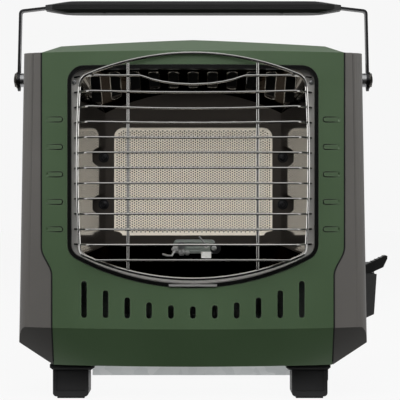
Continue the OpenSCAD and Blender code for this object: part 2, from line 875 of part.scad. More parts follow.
valve_x0 = socket_x + 2;
valve_x1 = cover_x(knob_z) - cover_t - 9;
module control_valve() {
    color(brass) difference() {
        union() {
            box([valve_x0, knob_y - 10, knob_z - 10], [valve_x1, knob_y + 10, valve_top_z]);
            rod_x(valve_x1 - 1, valve_x1 + 8.7, knob_y, knob_z, 14);
        }
        rod_x(valve_x0 + 4, valve_x1 + 20, knob_y, knob_z, stem_d + 2*fit);
    }
}

bezel_x = body_w/2 + bezel_h - 0.5;
knob_x0 = body_w/2 + 1.8;
knob_proud = 4;
module valve_stem() {
    color(steel) difference() {
        rod_x(valve_x0 + 5, knob_x0 + 8, knob_y, knob_z, stem_d);
        box([knob_x0, knob_y - 5, knob_z + stem_d/2 - 1], [knob_x0 + 10, knob_y + 5, knob_z + 5]);
    }
}

module control_knob() {
    x1 = bezel_x + knob_proud;
    color(black) difference() {
        translate([knob_x0, knob_y, knob_z]) rotate([0, 90, 0]) {
            cylinder(h = x1 - knob_x0 - 2, d = knob_d);
            translate([0, 0, x1 - knob_x0 - 2]) cylinder(h = 2, d1 = knob_d, d2 = knob_d - 3);
        }
        // Two hollows leave a bar to turn the knob by
        for (s = [-1, 1]) translate([x1 - 6, knob_y + s*knob_d*0.52, knob_z]) rotate([0, 90, 0])
            cylinder(h = 10, d = knob_d*0.78);
        difference() {
            rod_x(knob_x0 - 1, knob_x0 + 9, knob_y, knob_z, stem_d + 2*fit);
            box([knob_x0 - 2, knob_y - 5, knob_z + stem_d/2 - 1 + fit], [knob_x0 + 10, knob_y + 5, knob_z + 5]);
        }
    }
}

// Raised moulding on the right cover round the lock lever and the knob
bezel_rim = 5;
bezel_y0 = lever_y - lever_w/2 - bezel_rim;
bezel_y1 = knob_y + knob_d/2 + 2.2*bezel_rim;
bezel_z0 = knob_z - knob_d/2 - 1.2*bezel_rim;
// It ends below the lever's blade
bezel_z1 = lever_z + (body_w/2 + 5 - lever_x)*tan(lever_tilt) - lever_t/2/cos(lever_tilt);
module control_bezel() {
    color(black) difference() {
        intersection() {
            hull() {
                box([body_w/2 - 6, bezel_y0 - 6, bezel_z0 - 4], [body_w/2 - 5, bezel_y1 + 6, bezel_z1 + 1]);
                along_y(bezel_y0 + 3, bezel_y1 - 3) polygon([
                    [bezel_x - 3.2, bezel_z0 + 1.3], [bezel_x - 2.2, bezel_z0 + 1.3],
                    [bezel_x, bezel_z1], [bezel_x - 1, bezel_z1]]);
            }
            cover_clear();
        }
        lever_window(body_w/2 - 20, bezel_x + 5);
        rod_x(body_w/2 - 20, body_w/2 + 8, knob_y, knob_z, stem_d + 2);
        rod_x(knob_x0 - 0.6, bezel_x + 5, knob_y, knob_z, knob_d + 2);
    }
}

// Space outside the right cover's wall
module cover_clear() {
    along_y(0, back_y) polygon([
        [cover_x(base_z + 20) + seat, base_z + 20], [cover_x(base_z + 120) + seat, base_z + 120],
        [body_w/2 + 60, base_z + 120], [body_w/2 + 60, base_z + 20]]);
}

module regulator_bracket() {
    z0 = base_z + 2*seat + 2*plate_t + seat;
    color(zinc) difference() {
        union() {
            box([socket_x, cartridge_y - 20, z0], [socket_x + sheet + 0.5, cartridge_y + 16, cartridge_z + 22]);
            box([socket_x, cartridge_y - 20, z0], [socket_x + 5.5, cartridge_y + 16, z0 + sheet]);
        }
        rod_x(socket_x - 5, socket_x + 10, cartridge_y, cartridge_z, 12 + 2*fit);
    }
}

module cartridge_connector() {
    color(brass) difference() {
        union() {
            rod_x(socket_x - 9, socket_x + 1.5 + sheet, cartridge_y, cartridge_z, 12);
            rod_x(socket_x - 3, socket_x - seat, cartridge_y, cartridge_z, 18);
        }
        rod_x(socket_x - 10, socket_x - 4, cartridge_y, cartridge_z, 6);
    }
}

module regulator() {
    x0 = socket_x + 1.5 + sheet + seat;
    color(steel) translate([x0, cartridge_y, cartridge_z]) rotate([0, 90, 0]) rotate_extrude() polygon([
        [0, 0], [12, 0], [12, 5], [9, 6.5], [9, 11], [5, 13], [0, 13]]);
}

module supply_pipe() {
    x = socket_x + 1.5 + sheet + seat + 3;
    z0 = cartridge_z + 12.3;
    color(brass) translate([x, cartridge_y - 3, z0]) cylinder(h = knob_z - 10 - seat - z0, d = 5);
}

// ---- cartridge lock ----

finger_a = 19;
finger_d = 4.6;
finger_x = lever_x - finger_r*sin(finger_a);
finger_z = lever_z + finger_r*cos(finger_a);
arm_t = 3.2;
module lock_lever() {
    y0 = lever_y - lever_w/2;
    y1 = lever_y + lever_w/2;
    color(black) difference() {
        union() {
            rod_y(y0, y1, lever_x, lever_z, 12);
            translate([lever_x, 0, lever_z]) rotate([0, -lever_tilt, 0])
                along_y(y0 + 0.3, y1 - 0.3) polygon([
                    [2, -lever_t/2], [lever_l - 7, -lever_t/2], [lever_l - 1, lever_t/2 - 3],
                    [lever_l, lever_t/2 - 1], [lever_l - 1, lever_t/2], [2, lever_t/2]]);
            // Arm up to the finger
            translate([lever_x, 0, lever_z]) rotate([0, -finger_a, 0])
                box([-3.5, y0 + 0.5, 3], [3.5, y0 + arm_t, finger_r + 2]);
            rod_y(y0 + 1, y1 - 1, finger_x, finger_z, finger_d);
        }
        rod_y(y0 - 1, y1 + 1, lever_x, lever_z, pin_d + 2*fit);
    }
}

module lever_pin() {
    reach = lever_w/2 + lever_gap + ear_t;
    color(steel) rod_y(lever_y - reach - 0.5, lever_y + reach + 0.5, lever_x, lever_z, pin_d);
}

// Slide with a fork for the lever's finger and a hook for the cartridge's collar
slide_t = 3;
slide_z = finger_z - slide_t/2 - 0.3;
hook_x = bay_x1 - 12;
strip_y0 = lever_y + 9;
strip_y1 = strip_y0 + 12;
fork_in = finger_d/2 + 0.35;
module lock_slide() {
    fork_y0 = lever_y - lever_w/2 + arm_t + 0.8;
    color(zinc) {
        along_z(slide_z, slide_z + slide_t) difference() {
            union() {
                translate([hook_x, strip_y0]) square([finger_x + 8 - hook_x, strip_y1 - strip_y0]);
                translate([finger_x - 7, fork_y0]) square([15, strip_y0 - fork_y0 + 1]);
                translate([hook_x, strip_y0]) square([9, cartridge_y + 8 - strip_y0]);
            }
            translate([finger_x - fork_in, fork_y0 - 1]) square([2*fork_in, lever_w - arm_t]);
        }
        box([hook_x, cartridge_y - 8, cartridge_z + 24], [hook_x + 2, cartridge_y + 8, slide_z + 0.5]);
    }
}

slide_travel = 8;
module slide_bracket() {
    x0 = hook_x + 2;
    x1 = finger_x - 8;
    z1 = slide_z - seat;
    y_leg = strip_y0 + 5;
    z0 = base_z + seat + plate_t + seat;
    color(zinc) {
        box([x0, strip_y0 - 2, z1 - sheet], [x1, strip_y1 + 2, z1]);
        box([x0, y_leg, z0], [x1 - 4, y_leg + sheet, z1 - sheet/2]);
        box([x0, y_leg - 8, z0], [x1 - 4, y_leg + sheet, z0 + sheet]);
        box([x0, strip_y0 - 2, z1 - sheet], [x1, strip_y0 - slack, slide_z + 2]);
    }
}

// ---- pilot group ----

pilot_y = 42;
// Height of the pan's floor at depth y in the middle of the heater
pan_low_z = mouth_low_z + 5.5;
function floor_z(y) = pan_low_z + pan_t + (pan_back_z0 - pan_low_z)*(y - flange_y)/(pan_back_y - flange_y);

module pilot_bracket() {
    z0 = floor_z(pilot_y) + 0.6;
    z1 = z0 + 11;
    color(zinc) difference() {
        union() {
            along_y(pilot_y - 0.8, pilot_y) {
                translate([-16, z0]) square([34, 8]);
                translate([-13, z0]) square([28, 11]);
                for (x = [-13, 15]) translate([x, z1 - 3]) circle(r = 3);
            }
            box([-16, pilot_y - 0.8, z0], [18, pilot_y + 0.2, z0 + 1]);
        }
        for (x = [-10, 11]) rod_y(pilot_y - 5, pilot_y + 5, x, z0 + 6, 4.2);
    }
}

module spark_electrode() {
    z0 = floor_z(pilot_y) + 6.6;
    color(steel) {
        rod_y(pilot_y - 12, pilot_y + 10, 11, z0, 1.6);
        translate([11, pilot_y - 11.2, z0]) rotate([0, -38, 0]) cylinder(h = 10, d = 1.4);
    }
}

module electrode_insulator() {
    z0 = floor_z(pilot_y) + 6.6;
    color([0.95, 0.95, 0.93]) difference() {
        rod_y(pilot_y - 8, pilot_y + 6, 11, z0, 4);
        rod_y(pilot_y - 9, pilot_y + 7, 11, z0, 1.7);
    }
}

module thermocouple() {
    z0 = floor_z(pilot_y) + 6.6;
    color(steel) {
        rod_y(pilot_y - 10, pilot_y + 8, -10, z0, 3.6);
        rod_y(pilot_y - 3.4, pilot_y - 0.9, -10, z0, 7);
    }
}

// ---- guard ----

side_x = mouth_w/2 - guard_in;
side_y = guard_y + 5.4;
side_bow = 0.02*side_x;
top_end = side_x - 8.1;
low_end = side_x - 4.6;
arch_r = (top_end*top_end + arch_rise*arch_rise)/(2*arch_rise);
arch_top_z = mouth_top_z + guard_up;
low_arch_r = (low_end*low_end + arch_fall*arch_fall)/(2*arch_fall);
low_arch_z = mouth_low_z + guard_low;

function arch_z(x) = arch_top_z - arch_r + sqrt(arch_r*arch_r - x*x);
function low_arch(x) = low_arch_z + low_arch_r - sqrt(low_arch_r*low_arch_r - x*x);
side_hi = arch_z(top_end) - 10;
side_lo = low_arch(low_end) + 9;
function side_rod_x(z) = side_x + side_bow*(1 - pow(2*(z - side_lo)/(side_hi - side_lo) - 1, 2));

function corner(a, b, c, n) = [for (i = [0:n]) let (t = i/n) pow(1 - t, 2)*a + 2*t*(1 - t)*b + t*t*c];

guard_half = concat(
    [for (i = [0:10]) let (x = top_end*i/10) [x, guard_y, arch_z(x)]],
    [for (p = corner([top_end + 2, guard_y, arch_z(top_end + 2)],
                     [side_x - 0.6, guard_y + 0.6, arch_z(side_x)],
                     [side_rod_x(side_hi), side_y, side_hi], 5)) p],
    [for (i = [1:7]) let (z = side_hi + (side_lo - side_hi)*i/8) [side_rod_x(z), side_y, z]],
    [for (p = corner([side_rod_x(side_lo), side_y, side_lo],
                     [side_x - 0.2, guard_y + 0.6, low_arch(side_x)],
                     [low_end + 1.4, guard_y, low_arch(low_end + 1.4)], 5)) p],
    [for (i = [10:-1:0]) let (x = low_end*i/10) [x, guard_y, low_arch(x)]]);

module guard_frame() {
    n = len(guard_half);
    loop = concat(guard_half, [for (i = [n - 2:-1:1]) [-guard_half[i][0], guard_half[i][1], guard_half[i][2]]]);
    color(chrome) sweep(loop, rod_d, [0, 1, 0], 10, true);
}

top_wire_z = arch_top_z - first_wire;
wire_pitch = (top_wire_z - low_arch_z - last_wire)/(wire_count - 1);
wire_end_x = mouth_w/2 - 5.6;
// Dip of the upper wires in the middle
function dip(i, x) = let (depth = [7, 1.2, 1.8, 0.9, 0.6][min(i, 4)]*(i < 5 ? 1 : 0), half = i == 0 ? 40 : 76)
    depth*pow(max(0, 1 - pow(x/half, 2)), i == 0 ? 0.8 : 1);

module cross_wire(i) {
    z = top_wire_z - i*wire_pitch;
    bend = side_rod_x(min(z, side_hi)) - (z > side_hi ? 12 : 8);
    dips = i == 0 ? [42, 38, 32, 24, 14, 0] : i < 5 ? [60, 30, 0] : [];
    right = concat(
        [[wire_end_x, flange_y - seat - wire_d/2, z],
         [bend + 1.6, wire_y + 3, z],
         [bend - 0.2, wire_y + 0.8, z],
         [bend - 3.4, wire_y, z]],
        [for (x = dips) [x, wire_y, z - dip(i, x)]]);
    left = [for (k = [len(right) - 1:-1:0]) [-right[k][0], right[k][1], right[k][2]]];
    skip = (len(dips) > 0) ? 1 : 0;
    sweep(concat(right, [for (k = [skip:len(left) - 1]) left[k]]), wire_d, [0, 0, 1], 8);
}

module guard_wires() {
    color(chrome) {
        for (i = [0:wire_count - 2]) cross_wire(i);
        z = top_wire_z - (wire_count - 1)*wire_pitch;
        reach = sqrt(pow(low_arch_r, 2) - pow(low_arch_z + low_arch_r - z, 2));
        rod_x(-reach, reach, wire_y, z, wire_d);
    }
}

module guard_uprights() {
    weld = 0.45;
    x = upright_x/2;
    color(chrome) mirrored()
        translate([x, guard_y, low_arch(x) + rod_d/2 + weld])
            cylinder(h = arch_z(x) - low_arch(x) - rod_d - 2*weld, d = rod_d);
}

module guard_clip() {
    y1 = -front_bulge - trim_rise - seat;
    color(chrome) box([-19, y1 - 0.9, mouth_low_z + 1.3], [19, y1, mouth_low_z + 3]);
}

// ---- handle ----

grip_z = bolt_z + bail_h;
module bail_outline() {
    // Strip seen from the front: two arms, rounded corners, a straight run through the grip
    pts = [[-bail_x, bolt_z - 30], [-bail_x, bolt_z], [-bail_x + 1.4, grip_z - 2.6 + bail_t/2],
           [-grip_l/2, grip_z + bail_t/2], [grip_l/2, grip_z + bail_t/2],
           [bail_x - 1.4, grip_z - 2.6 + bail_t/2], [bail_x, bolt_z], [bail_x, bolt_z - 30]];
    difference() {
        offset(r = 4, $fn = 32) offset(delta = -4) polygon(pts);
        offset(r = 2, $fn = 32) offset(delta = -4 - bail_t + 2) polygon(pts);
    }
}

eye_r = bolt_d/2 + 4;
module handle_bail() {
    color([0.25, 0.25, 0.26]) difference() {
        intersection() {
            along_y(bolt_y - eye_r - 1, bolt_y + eye_r + 1) bail_outline();
            along_x(-bail_x - 5, bail_x + 5) union() {
                translate([bolt_y, bolt_z]) circle(r = eye_r);
                translate([bolt_y, bolt_z - 3.4]) circle(r = eye_r - 1);
                translate([bolt_y - bail_strip/2, bolt_z]) square([bail_strip, bail_h + 20]);
            }
        }
        rod_x(-bail_x - 5, bail_x + 5, bolt_y, bolt_z, bolt_d + 2*fit);
    }
}

// Half of the grip: rounded bar with tapered ends and a channel for the strip
grip_tip = bail_t/2 + 1;
module grip_half(z0, z1, top) {
    strip_z = grip_z;
    difference() {
        hull() {
            along_z(z0, z0 + grip_tip) grip_plan(0, 0);
            along_z(z0, z1) grip_plan(2, 16);
        }
        box([-grip_l, bolt_y - bail_strip/2 - seat, z0 - 1], [grip_l, bolt_y + bail_strip/2 + seat, z0 + bail_t/2 + 0.1]);
        for (x = [-grip_l*0.3, grip_l*0.3]) for (s = [-1, 1])
            translate([x, bolt_y + s*8, z0 - 5]) cylinder(h = 30, d = 3.2, $fn = 24);
    }
}

module grip_plan(inset, end_in) {
    w = grip_w/2 - inset;
    l = grip_l/2 - end_in;
    translate([0, bolt_y]) polygon([
        [-l, -w + 5], [-l + 6, -w + 1], [-l + 14, -w], [l - 14, -w], [l - 6, -w + 1], [l, -w + 5],
        [l, w - 5], [l - 6, w - 1], [l - 14, w], [-l + 14, w], [-l + 6, w - 1], [-l, w - 5]]);
}

module grip_upper() {
    color(black) grip_half(grip_z + 0.05, grip_z + grip_t/2, true);
}

module grip_lower() {
    color(black) translate([0, 0, 2*grip_z]) mirror([0, 0, 1])
        grip_half(grip_z + 0.05, grip_z + grip_t/2, false);
}

module grip_screws() {
    color(steel) for (x = [-grip_l*0.3, grip_l*0.3], s = [-1, 1])
        translate([x, bolt_y + s*8, grip_z - grip_t/2 + 1]) cylinder(h = grip_t - 2.5, d = 3);
}

module pivot_bolts() {
    x0 = cover_x(bolt_z) - cover_t - boss_l + 1;
    head_x = bail_x + seat;
    color(steel) mirrored() {
        rod_x(x0, head_x + bolt_head, bolt_y, bolt_z, bolt_d - 1);
        rod_x(x0, head_x + 0.5, bolt_y, bolt_z, bolt_d);
        rod_x(head_x, head_x + 0.8, bolt_y, bolt_z, 14);
        translate([head_x + 0.7, bolt_y, bolt_z]) rotate([0, 90, 0]) cylinder(h = bolt_head - 1.3, d = 11.5, $fn = 6);
    }
}

module pivot_spacers() {
    x0 = cover_x(bolt_z - 7) + seat;
    color(steel) mirrored() difference() {
        rod_x(x0, bail_w/2 - 0.3, bolt_y, bolt_z, 12);
        rod_x(x0 - 1, bail_w/2 + 1, bolt_y, bolt_z, bolt_d + 0.2);
    }
}

// ---- feet ----

front_foot_y = skirt_in + foot_d/2 + 4;
rear_foot_y = back_y - foot_d/2 - 4;
foot_places = [
    [-foot_x/2 - foot_shift, front_foot_y], [foot_x/2 - foot_shift, front_foot_y],
    [-rear_foot_x/2, rear_foot_y], [rear_foot_x/2, rear_foot_y]];
function foot_width(i) = i < 2 ? foot_w : rear_foot_w;
// The rear feet's screws sit further in, over the base plate
screw_in = 1.2;
foot_screw_places = [foot_places[0], foot_places[1],
    foot_places[2] + [screw_in, 0], foot_places[3] - [screw_in, 0]];
foot_flange = 2.6;

module foot(w, lip, screw_x = 0) {
    z1 = base_z - seat;
    difference() {
        union() {
            along_y(-foot_d/2, foot_d/2) {
                translate([-w/2, pad_t + 3]) square([w, z1 - pad_t - 4]);
                translate([-w/2 + 3, pad_t]) square([w - 6, 6]);
                for (s = [-1, 1]) translate([s*(w/2 - 3), pad_t + 3]) circle(r = 3);
            }
            along_z(z1 - foot_flange, z1) square([w + 2*lip, foot_d + 4], center = true);
        }
        // Hollow face with a raised rim
        box([-w/2 + 2.6, -foot_d/2 - 1, pad_t + 4.2], [w/2 - 2.6, -foot_d/2 + 1.2, z1 - foot_flange - 1]);
        translate([screw_x, 0, z1 - 12]) cylinder(h = 20, d = 4.1);
    }
}

module front_feet() {
    color(black) for (i = [0, 1]) translate([foot_places[i][0], foot_places[i][1], 0])
        foot(foot_w, 2.3);
}

module rear_feet() {
    color(black) for (i = [2, 3]) translate([foot_places[i][0], foot_places[i][1], 0])
        foot(rear_foot_w, 0, foot_screw_places[i][0] - foot_places[i][0]);
}

module foot_pads() {
    color([0.1, 0.1, 0.1]) for (i = [0:3]) translate([foot_places[i][0], foot_places[i][1], 0])
        along_z(0, pad_t - 0.1) square([foot_width(i) - 7, foot_d - 3], center = true);
}

module foot_screws() {
    z1 = base_z + seat + plate_t + seat;
    color(steel) for (p = foot_screw_places) translate([p[0], p[1], 0]) {
        translate([0, 0, base_z - 11]) cylinder(h = z1 - base_z + 11.5, d = 4);
        translate([0, 0, z1]) cylinder(h = 2, d1 = 8, d2 = 6);
    }
}

rear_screw_x = panel_w/2;
rear_screw_z = [base_z + 0.4*body_h, cover_top_z - 26];
module rear_screws() {
    y0 = back_y - 1.9 + skin + seat;
    color(steel) mirrored() for (z = rear_screw_z) {
        rod_y(y0, y0 + 1.6, rear_screw_x, z, 7);
        rod_y(y0 - 8, y0 + 0.5, rear_screw_x, z, 3);
    }
}

module reflector_screws() {
    color(steel) mirrored() {
        rod_y(flange_y - seat - 0.7, flange_y - seat, mouth_w/2 - 5.4, mouth_top_z - 13, 3.4);
        for (z = burner_screw_z)
            rod_y(pan_back_y - pan_t - 1.4, pan_back_y - pan_t - seat, burner_screw_x, z, 4.6);
    }
}

place() front_panel();
place() trim_ring();
place() left_cover();
place() right_cover();
place() roof_panel();
place() rear_panel();
place() base_plate();
place() bay_shield();
place() cartridge_tray();
place() cartridge_door();
place() door_hinge_pin();
place() reflector();
place() burner_box();
place() plaque_gasket();
place() ceramic_plaque();
place() mixing_tube();
place() jet_bracket();
place() jet_holder();
place() gas_pipe();
place() supply_pipe();
place() control_valve();
place() valve_stem();
place() control_knob();
place() control_bezel();
place() regulator();
place() regulator_bracket();
place() cartridge_connector();
place() lock_lever();
place() lever_pin();
place() lock_slide();
place() slide_bracket();
place() pilot_bracket();
place() spark_electrode();
place() electrode_insulator();
place() thermocouple();
place() guard_frame();
place() guard_wires();
place() guard_uprights();
place() guard_clip();
place() handle_bail();
place() grip_upper();
place() grip_lower();
place() grip_screws();
place() pivot_bolts();
place() pivot_spacers();
place() front_feet();
place() rear_feet();
place() foot_pads();
place() foot_screws();
place() rear_screws();
place() reflector_screws();
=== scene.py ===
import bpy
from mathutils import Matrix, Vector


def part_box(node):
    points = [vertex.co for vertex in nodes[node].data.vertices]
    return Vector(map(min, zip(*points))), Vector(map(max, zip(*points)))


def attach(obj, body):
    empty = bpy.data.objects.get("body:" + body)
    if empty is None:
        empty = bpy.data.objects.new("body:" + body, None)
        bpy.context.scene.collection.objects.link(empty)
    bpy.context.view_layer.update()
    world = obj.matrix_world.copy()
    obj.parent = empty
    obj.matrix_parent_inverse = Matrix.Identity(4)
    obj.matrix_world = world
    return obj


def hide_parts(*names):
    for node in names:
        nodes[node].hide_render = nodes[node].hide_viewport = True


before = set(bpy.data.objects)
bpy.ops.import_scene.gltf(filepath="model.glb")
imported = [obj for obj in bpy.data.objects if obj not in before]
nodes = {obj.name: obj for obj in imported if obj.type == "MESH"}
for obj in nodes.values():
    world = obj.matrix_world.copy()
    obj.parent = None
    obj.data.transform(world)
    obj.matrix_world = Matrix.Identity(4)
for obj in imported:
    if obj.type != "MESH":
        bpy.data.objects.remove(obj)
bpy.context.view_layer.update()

import math

import bmesh
import bpy
from mathutils import Vector
from mathutils.bvhtree import BVHTree
from mathutils.geometry import delaunay_2d_cdt

MM = 0.001
# The frame starts below the middle of the whole heater; these lead from there to the middle of the
# body and to the front panel's side edges, in mm
SHIFT_X, SHIFT_Y = 4.80355, 68.25
FRONT, BACK = Vector((0, -1, 0)), Vector((0, 1, 0))
UP, DOWN = Vector((0, 0, 1)), Vector((0, 0, -1))
LEFT, RIGHT = Vector((-1, 0, 0)), Vector((1, 0, 0))
scene = bpy.context.scene


# ---- finishes: shared steps ----

def linear(code):
    """An sRGB hex colour as linear red, green, blue and alpha."""
    parts = [int(code[i:i + 2], 16) / 255 for i in (1, 3, 5)]
    return [p / 12.92 if p <= 0.04045 else ((p + 0.055) / 1.055) ** 2.4 for p in parts] + [1.0]


def add(tree, kind, inputs=None, **settings):
    """Adds a node, makes its settings, and sets or links its inputs."""
    new = tree.nodes.new("ShaderNode" + kind)
    for name, value in settings.items():
        setattr(new, name, value)
    for name, value in (inputs or {}).items():
        if isinstance(value, bpy.types.NodeSocket):
            tree.links.new(value, new.inputs[name])
        else:
            new.inputs[name].default_value = value
    return new


def start_tree(owner):
    """Empties the node tree of a material or a world."""
    owner.use_nodes = True
    owner.node_tree.nodes.clear()
    return owner.node_tree


def start_finish(name, **uniform):
    """A new material whose shader has the given uniform values, with an underline for each space:
    returns the material, its tree, the shader and the place on the piece."""
    finish = bpy.data.materials.new(name)
    tree = start_tree(finish)
    shader = add(tree, "BsdfPrincipled", {key.replace("_", " "): uniform[key] for key in uniform})
    add(tree, "OutputMaterial", {"Surface": shader.outputs["BSDF"]})
    return finish, tree, shader, add(tree, "TexCoord").outputs["Object"]


def dress(tree, shader, colour, height, depth_mm, strength, rough=None):
    """Leads a colour, a relief and, unless it is uniform, a roughness to the shader."""
    relief = add(tree, "Bump", {"Height": height, "Distance": depth_mm * MM, "Strength": strength})
    tree.links.new(colour, shader.inputs["Base Color"])
    tree.links.new(relief.outputs["Normal"], shader.inputs["Normal"])
    if rough is not None:
        tree.links.new(rough, shader.inputs["Roughness"])


def clouded(tree, place, cloud_mm, dark, light, detail=4.0, roughness=0.5):
    """Soft clouds of that size between two tones: returns the clouds and their colour."""
    clouds = add(tree, "TexNoise", {"Vector": place, "Scale": 1000 / cloud_mm, "Detail": detail,
                                    "Roughness": roughness}).outputs["Fac"]
    tone = add(tree, "Mix", {0: clouds, 6: linear(dark), 7: linear(light)}, data_type="RGBA")
    return clouds, tone.outputs[2]


def worn(tree, colour, bare, radius_mm, amount):
    """The colour, worn towards a bare one along outside edges, where paint runs thin and handling
    polishes."""
    soft = add(tree, "Bevel", {"Radius": radius_mm * MM}, samples=6)
    sharp = add(tree, "NewGeometry")
    match = add(tree, "VectorMath", {0: soft.outputs["Normal"], 1: sharp.outputs["Normal"]},
                operation="DOT_PRODUCT")
    wear = add(tree, "MapRange", {"Value": match.outputs["Value"], "From Min": 0.995,
                                  "From Max": 0.8, "To Max": amount})
    return add(tree, "Mix", {0: wear.outputs["Result"], 6: colour, 7: linear(bare)},
               data_type="RGBA").outputs[2]


# ---- finishes: one for each real material and how it was made ----

def stoved_enamel(name, dark, light, bare, rough, primer_and_shade_side, primer_and_shade_coat):
    """Stoved enamel on pressed steel: smooth satin paint with faint orange peel, thin along the
    bends, and painted shade in its grooves.
    Faces that look to the given side take a darker second colour: bare primer on the inner side of
    the green panels, and painted shade on the downward slopes of the grey covers."""
    finish, tree, shader, place = start_finish(name, IOR=1.5, Specular_IOR_Level=0.5)
    # Slow drift of tone over about 45 mm, where the paint was sprayed thicker or thinner
    drift, tone = clouded(tree, place, 45, dark, light, detail=3.0)
    coat = worn(tree, tone, bare, radius_mm=0.9, amount=0.45)
    # Painted shade darkens grooves and the places where parts meet, within about 2.5 mm, together
    # with the dust that gathers there
    hollow = add(tree, "AmbientOcclusion", {"Distance": 2.5 * MM}, samples=8)
    unshaded = add(tree, "MapRange", {"Value": hollow.outputs["AO"], "From Min": 0.45,
                                   "From Max": 0.92, "To Min": 0.12})
    painted_shade_and_dust = add(tree, "Mix", {0: unshaded.outputs["Result"], 6: linear("#0C0D0C"), 7: coat},
                data_type="RGBA")
    # Faces that look to the given side take the darker colour: primer inside the green panels,
    # painted shade on the grey covers' lower slopes
    facing = add(tree, "NewGeometry").outputs["True Normal"]
    match = add(tree, "VectorMath", {0: facing, 1: primer_and_shade_side}, operation="DOT_PRODUCT")
    primer_and_shade_mask = add(tree, "MapRange", {"Value": match.outputs["Value"], "From Min": 0.25,
                                    "From Max": 0.4})
    both_sides = add(tree, "Mix", {0: primer_and_shade_mask.outputs["Result"], 6: painted_shade_and_dust.outputs[2],
                                   7: linear(primer_and_shade_coat)}, data_type="RGBA")
    # Orange peel has a grain of about 1.4 mm and is a few hundredths deep
    peel = add(tree, "TexNoise", {"Vector": place, "Scale": 1000 / 1.4, "Detail": 1.0})
    shine = add(tree, "MapRange", {"Value": drift, "To Min": rough - 0.04, "To Max": rough + 0.05})
    dress(tree, shader, both_sides.outputs[2], peel.outputs["Fac"], depth_mm=0.035, strength=0.6,
          rough=shine.outputs["Result"])
    return finish


def moulded_plastic(name, dark, light, edge, rough, grain_mm, grain_depth_mm):
    """Injection-moulded plastic: spark-eroded grain all over and slightly polished edges. The real
    grain is about a third as wide and wouldn't show."""
    finish, tree, shader, place = start_finish(name, IOR=1.49, Specular_IOR_Level=0.45)
    # Flow of the melt clouds the tone over about 18 mm
    tone = clouded(tree, place, 18, dark, light)[1]
    colour = worn(tree, tone, edge, radius_mm=0.6, amount=0.5)
    grain = add(tree, "TexNoise", {"Vector": place, "Scale": 1000 / grain_mm,
                                   "Roughness": 0.6})
    shine = add(tree, "MapRange", {"Value": grain.outputs["Fac"], "To Min": rough - 0.07,
                                   "To Max": rough + 0.1})
    dress(tree, shader, colour, grain.outputs["Fac"], depth_mm=grain_depth_mm, strength=0.8,
          rough=shine.outputs["Result"])
    return finish


def bright_metal(name, dark, light, rough, line_mm, line_depth_mm, finer=(1, 1, 1),
                 bare="#FFFFFF", edge=0.15):
    """Drawn, polished or plated metal with lines from the die or the wheel. They lie that many
    times finer along x, y and z, so that they run the way it was drawn or polished. The real ones
    are a few hundredths wide and wouldn't show, so they are drawn 1 to 2 mm wide."""
    finish, tree, shader, place = start_finish(name, Metallic=1.0)
    along = add(tree, "Mapping", {"Vector": place, "Scale": finer})
    lines = add(tree, "TexNoise", {"Vector": along.outputs["Vector"], "Scale": 1000 / line_mm,
                                   "Detail": 3.0})
    # A haze of about 22 mm, from handling and storage
    haze, tone = clouded(tree, place, 22, dark, light, roughness=0.6)
    colour = worn(tree, tone, bare, radius_mm=0.3, amount=edge)
    both = add(tree, "Math", {0: lines.outputs["Fac"], 1: haze}, operation="ADD")
    shine = add(tree, "MapRange", {"Value": both.outputs[0], "From Max": 2.0,
                                   "To Min": rough * 0.6, "To Max": rough * 1.5})
    dress(tree, shader, colour, lines.outputs["Fac"], depth_mm=line_depth_mm, strength=0.5,
          rough=shine.outputs["Result"])
    return finish


def polished_pan(name):
    """Stainless steel, deep-drawn and mirror-polished: clear reflections bent by slow waves from
    the press. Painted shade darkens it by the way each wall looks: darkest on the floor, dark on
    the top, lighter on the back, while the side walls keep the steel's own light colour. The flange
    under the mouth's trim is satin."""
    # A film from the burner's heat dulls what the metal reflects at a grazing angle
    finish, tree, shader, place = start_finish(name, Metallic=1.0, Specular_Tint=linear("#94908C"))
    # The top wall's dark tone is painted shade
    haze, top = clouded(tree, place, 30, "#3A3633", "#4C4743")
    turned = add(tree, "SeparateXYZ", {0: add(tree, "NewGeometry").outputs["Normal"]}).outputs
    sideways = add(tree, "Math", {0: turned["X"]}, operation="ABSOLUTE").outputs[0]
    depth = add(tree, "SeparateXYZ", {0: place}).outputs["Y"]
    colour, masks = top, []
    # What each tone goes by, where it starts, where it is full, and its colour. The floor's and the
    # back's tones, like the top wall's dark tone above, are painted shade; the side walls keep the
    # steel's own colour and the flange is satin
    for value, low, full, pan_tone in (
            (turned["Z"], 0.3, 0.7, "#2A2724"),       # floor, looking up
            (turned["Y"], -0.85, -0.97, "#6A645E"),   # back, looking forward
            (sideways, 0.5, 0.85, "#E4E5E6"),         # side walls
            # The flange ends 1 mm behind its own front face
            (depth, (-0.5 - SHIFT_Y) * MM, (-0.9 - SHIFT_Y) * MM, "#F0EEEA")):
        masks.append(add(tree, "MapRange", {"Value": value, "From Min": low,
                                            "From Max": full}).outputs["Result"])
        colour = add(tree, "Mix", {0: masks[-1], 6: colour, 7: linear(pan_tone)},
                     data_type="RGBA").outputs[2]
    _, back, _, flange = masks
    clear = add(tree, "MapRange", {"Value": haze, "To Min": 0.05, "To Max": 0.16})
    dulled = add(tree, "Mix", {0: back, 2: clear.outputs["Result"], 3: 0.42})
    shine = add(tree, "Mix", {0: flange, 2: dulled.outputs[0], 3: 0.68})
    # Press waves of about 26 mm, a few tenths of a millimetre high
    wave = add(tree, "TexNoise", {"Vector": place, "Scale": 1000 / 26, "Detail": 0.0})
    dress(tree, shader, colour, wave.outputs["Fac"], depth_mm=0.5, strength=0.35,
          rough=shine.outputs[0])
    return finish


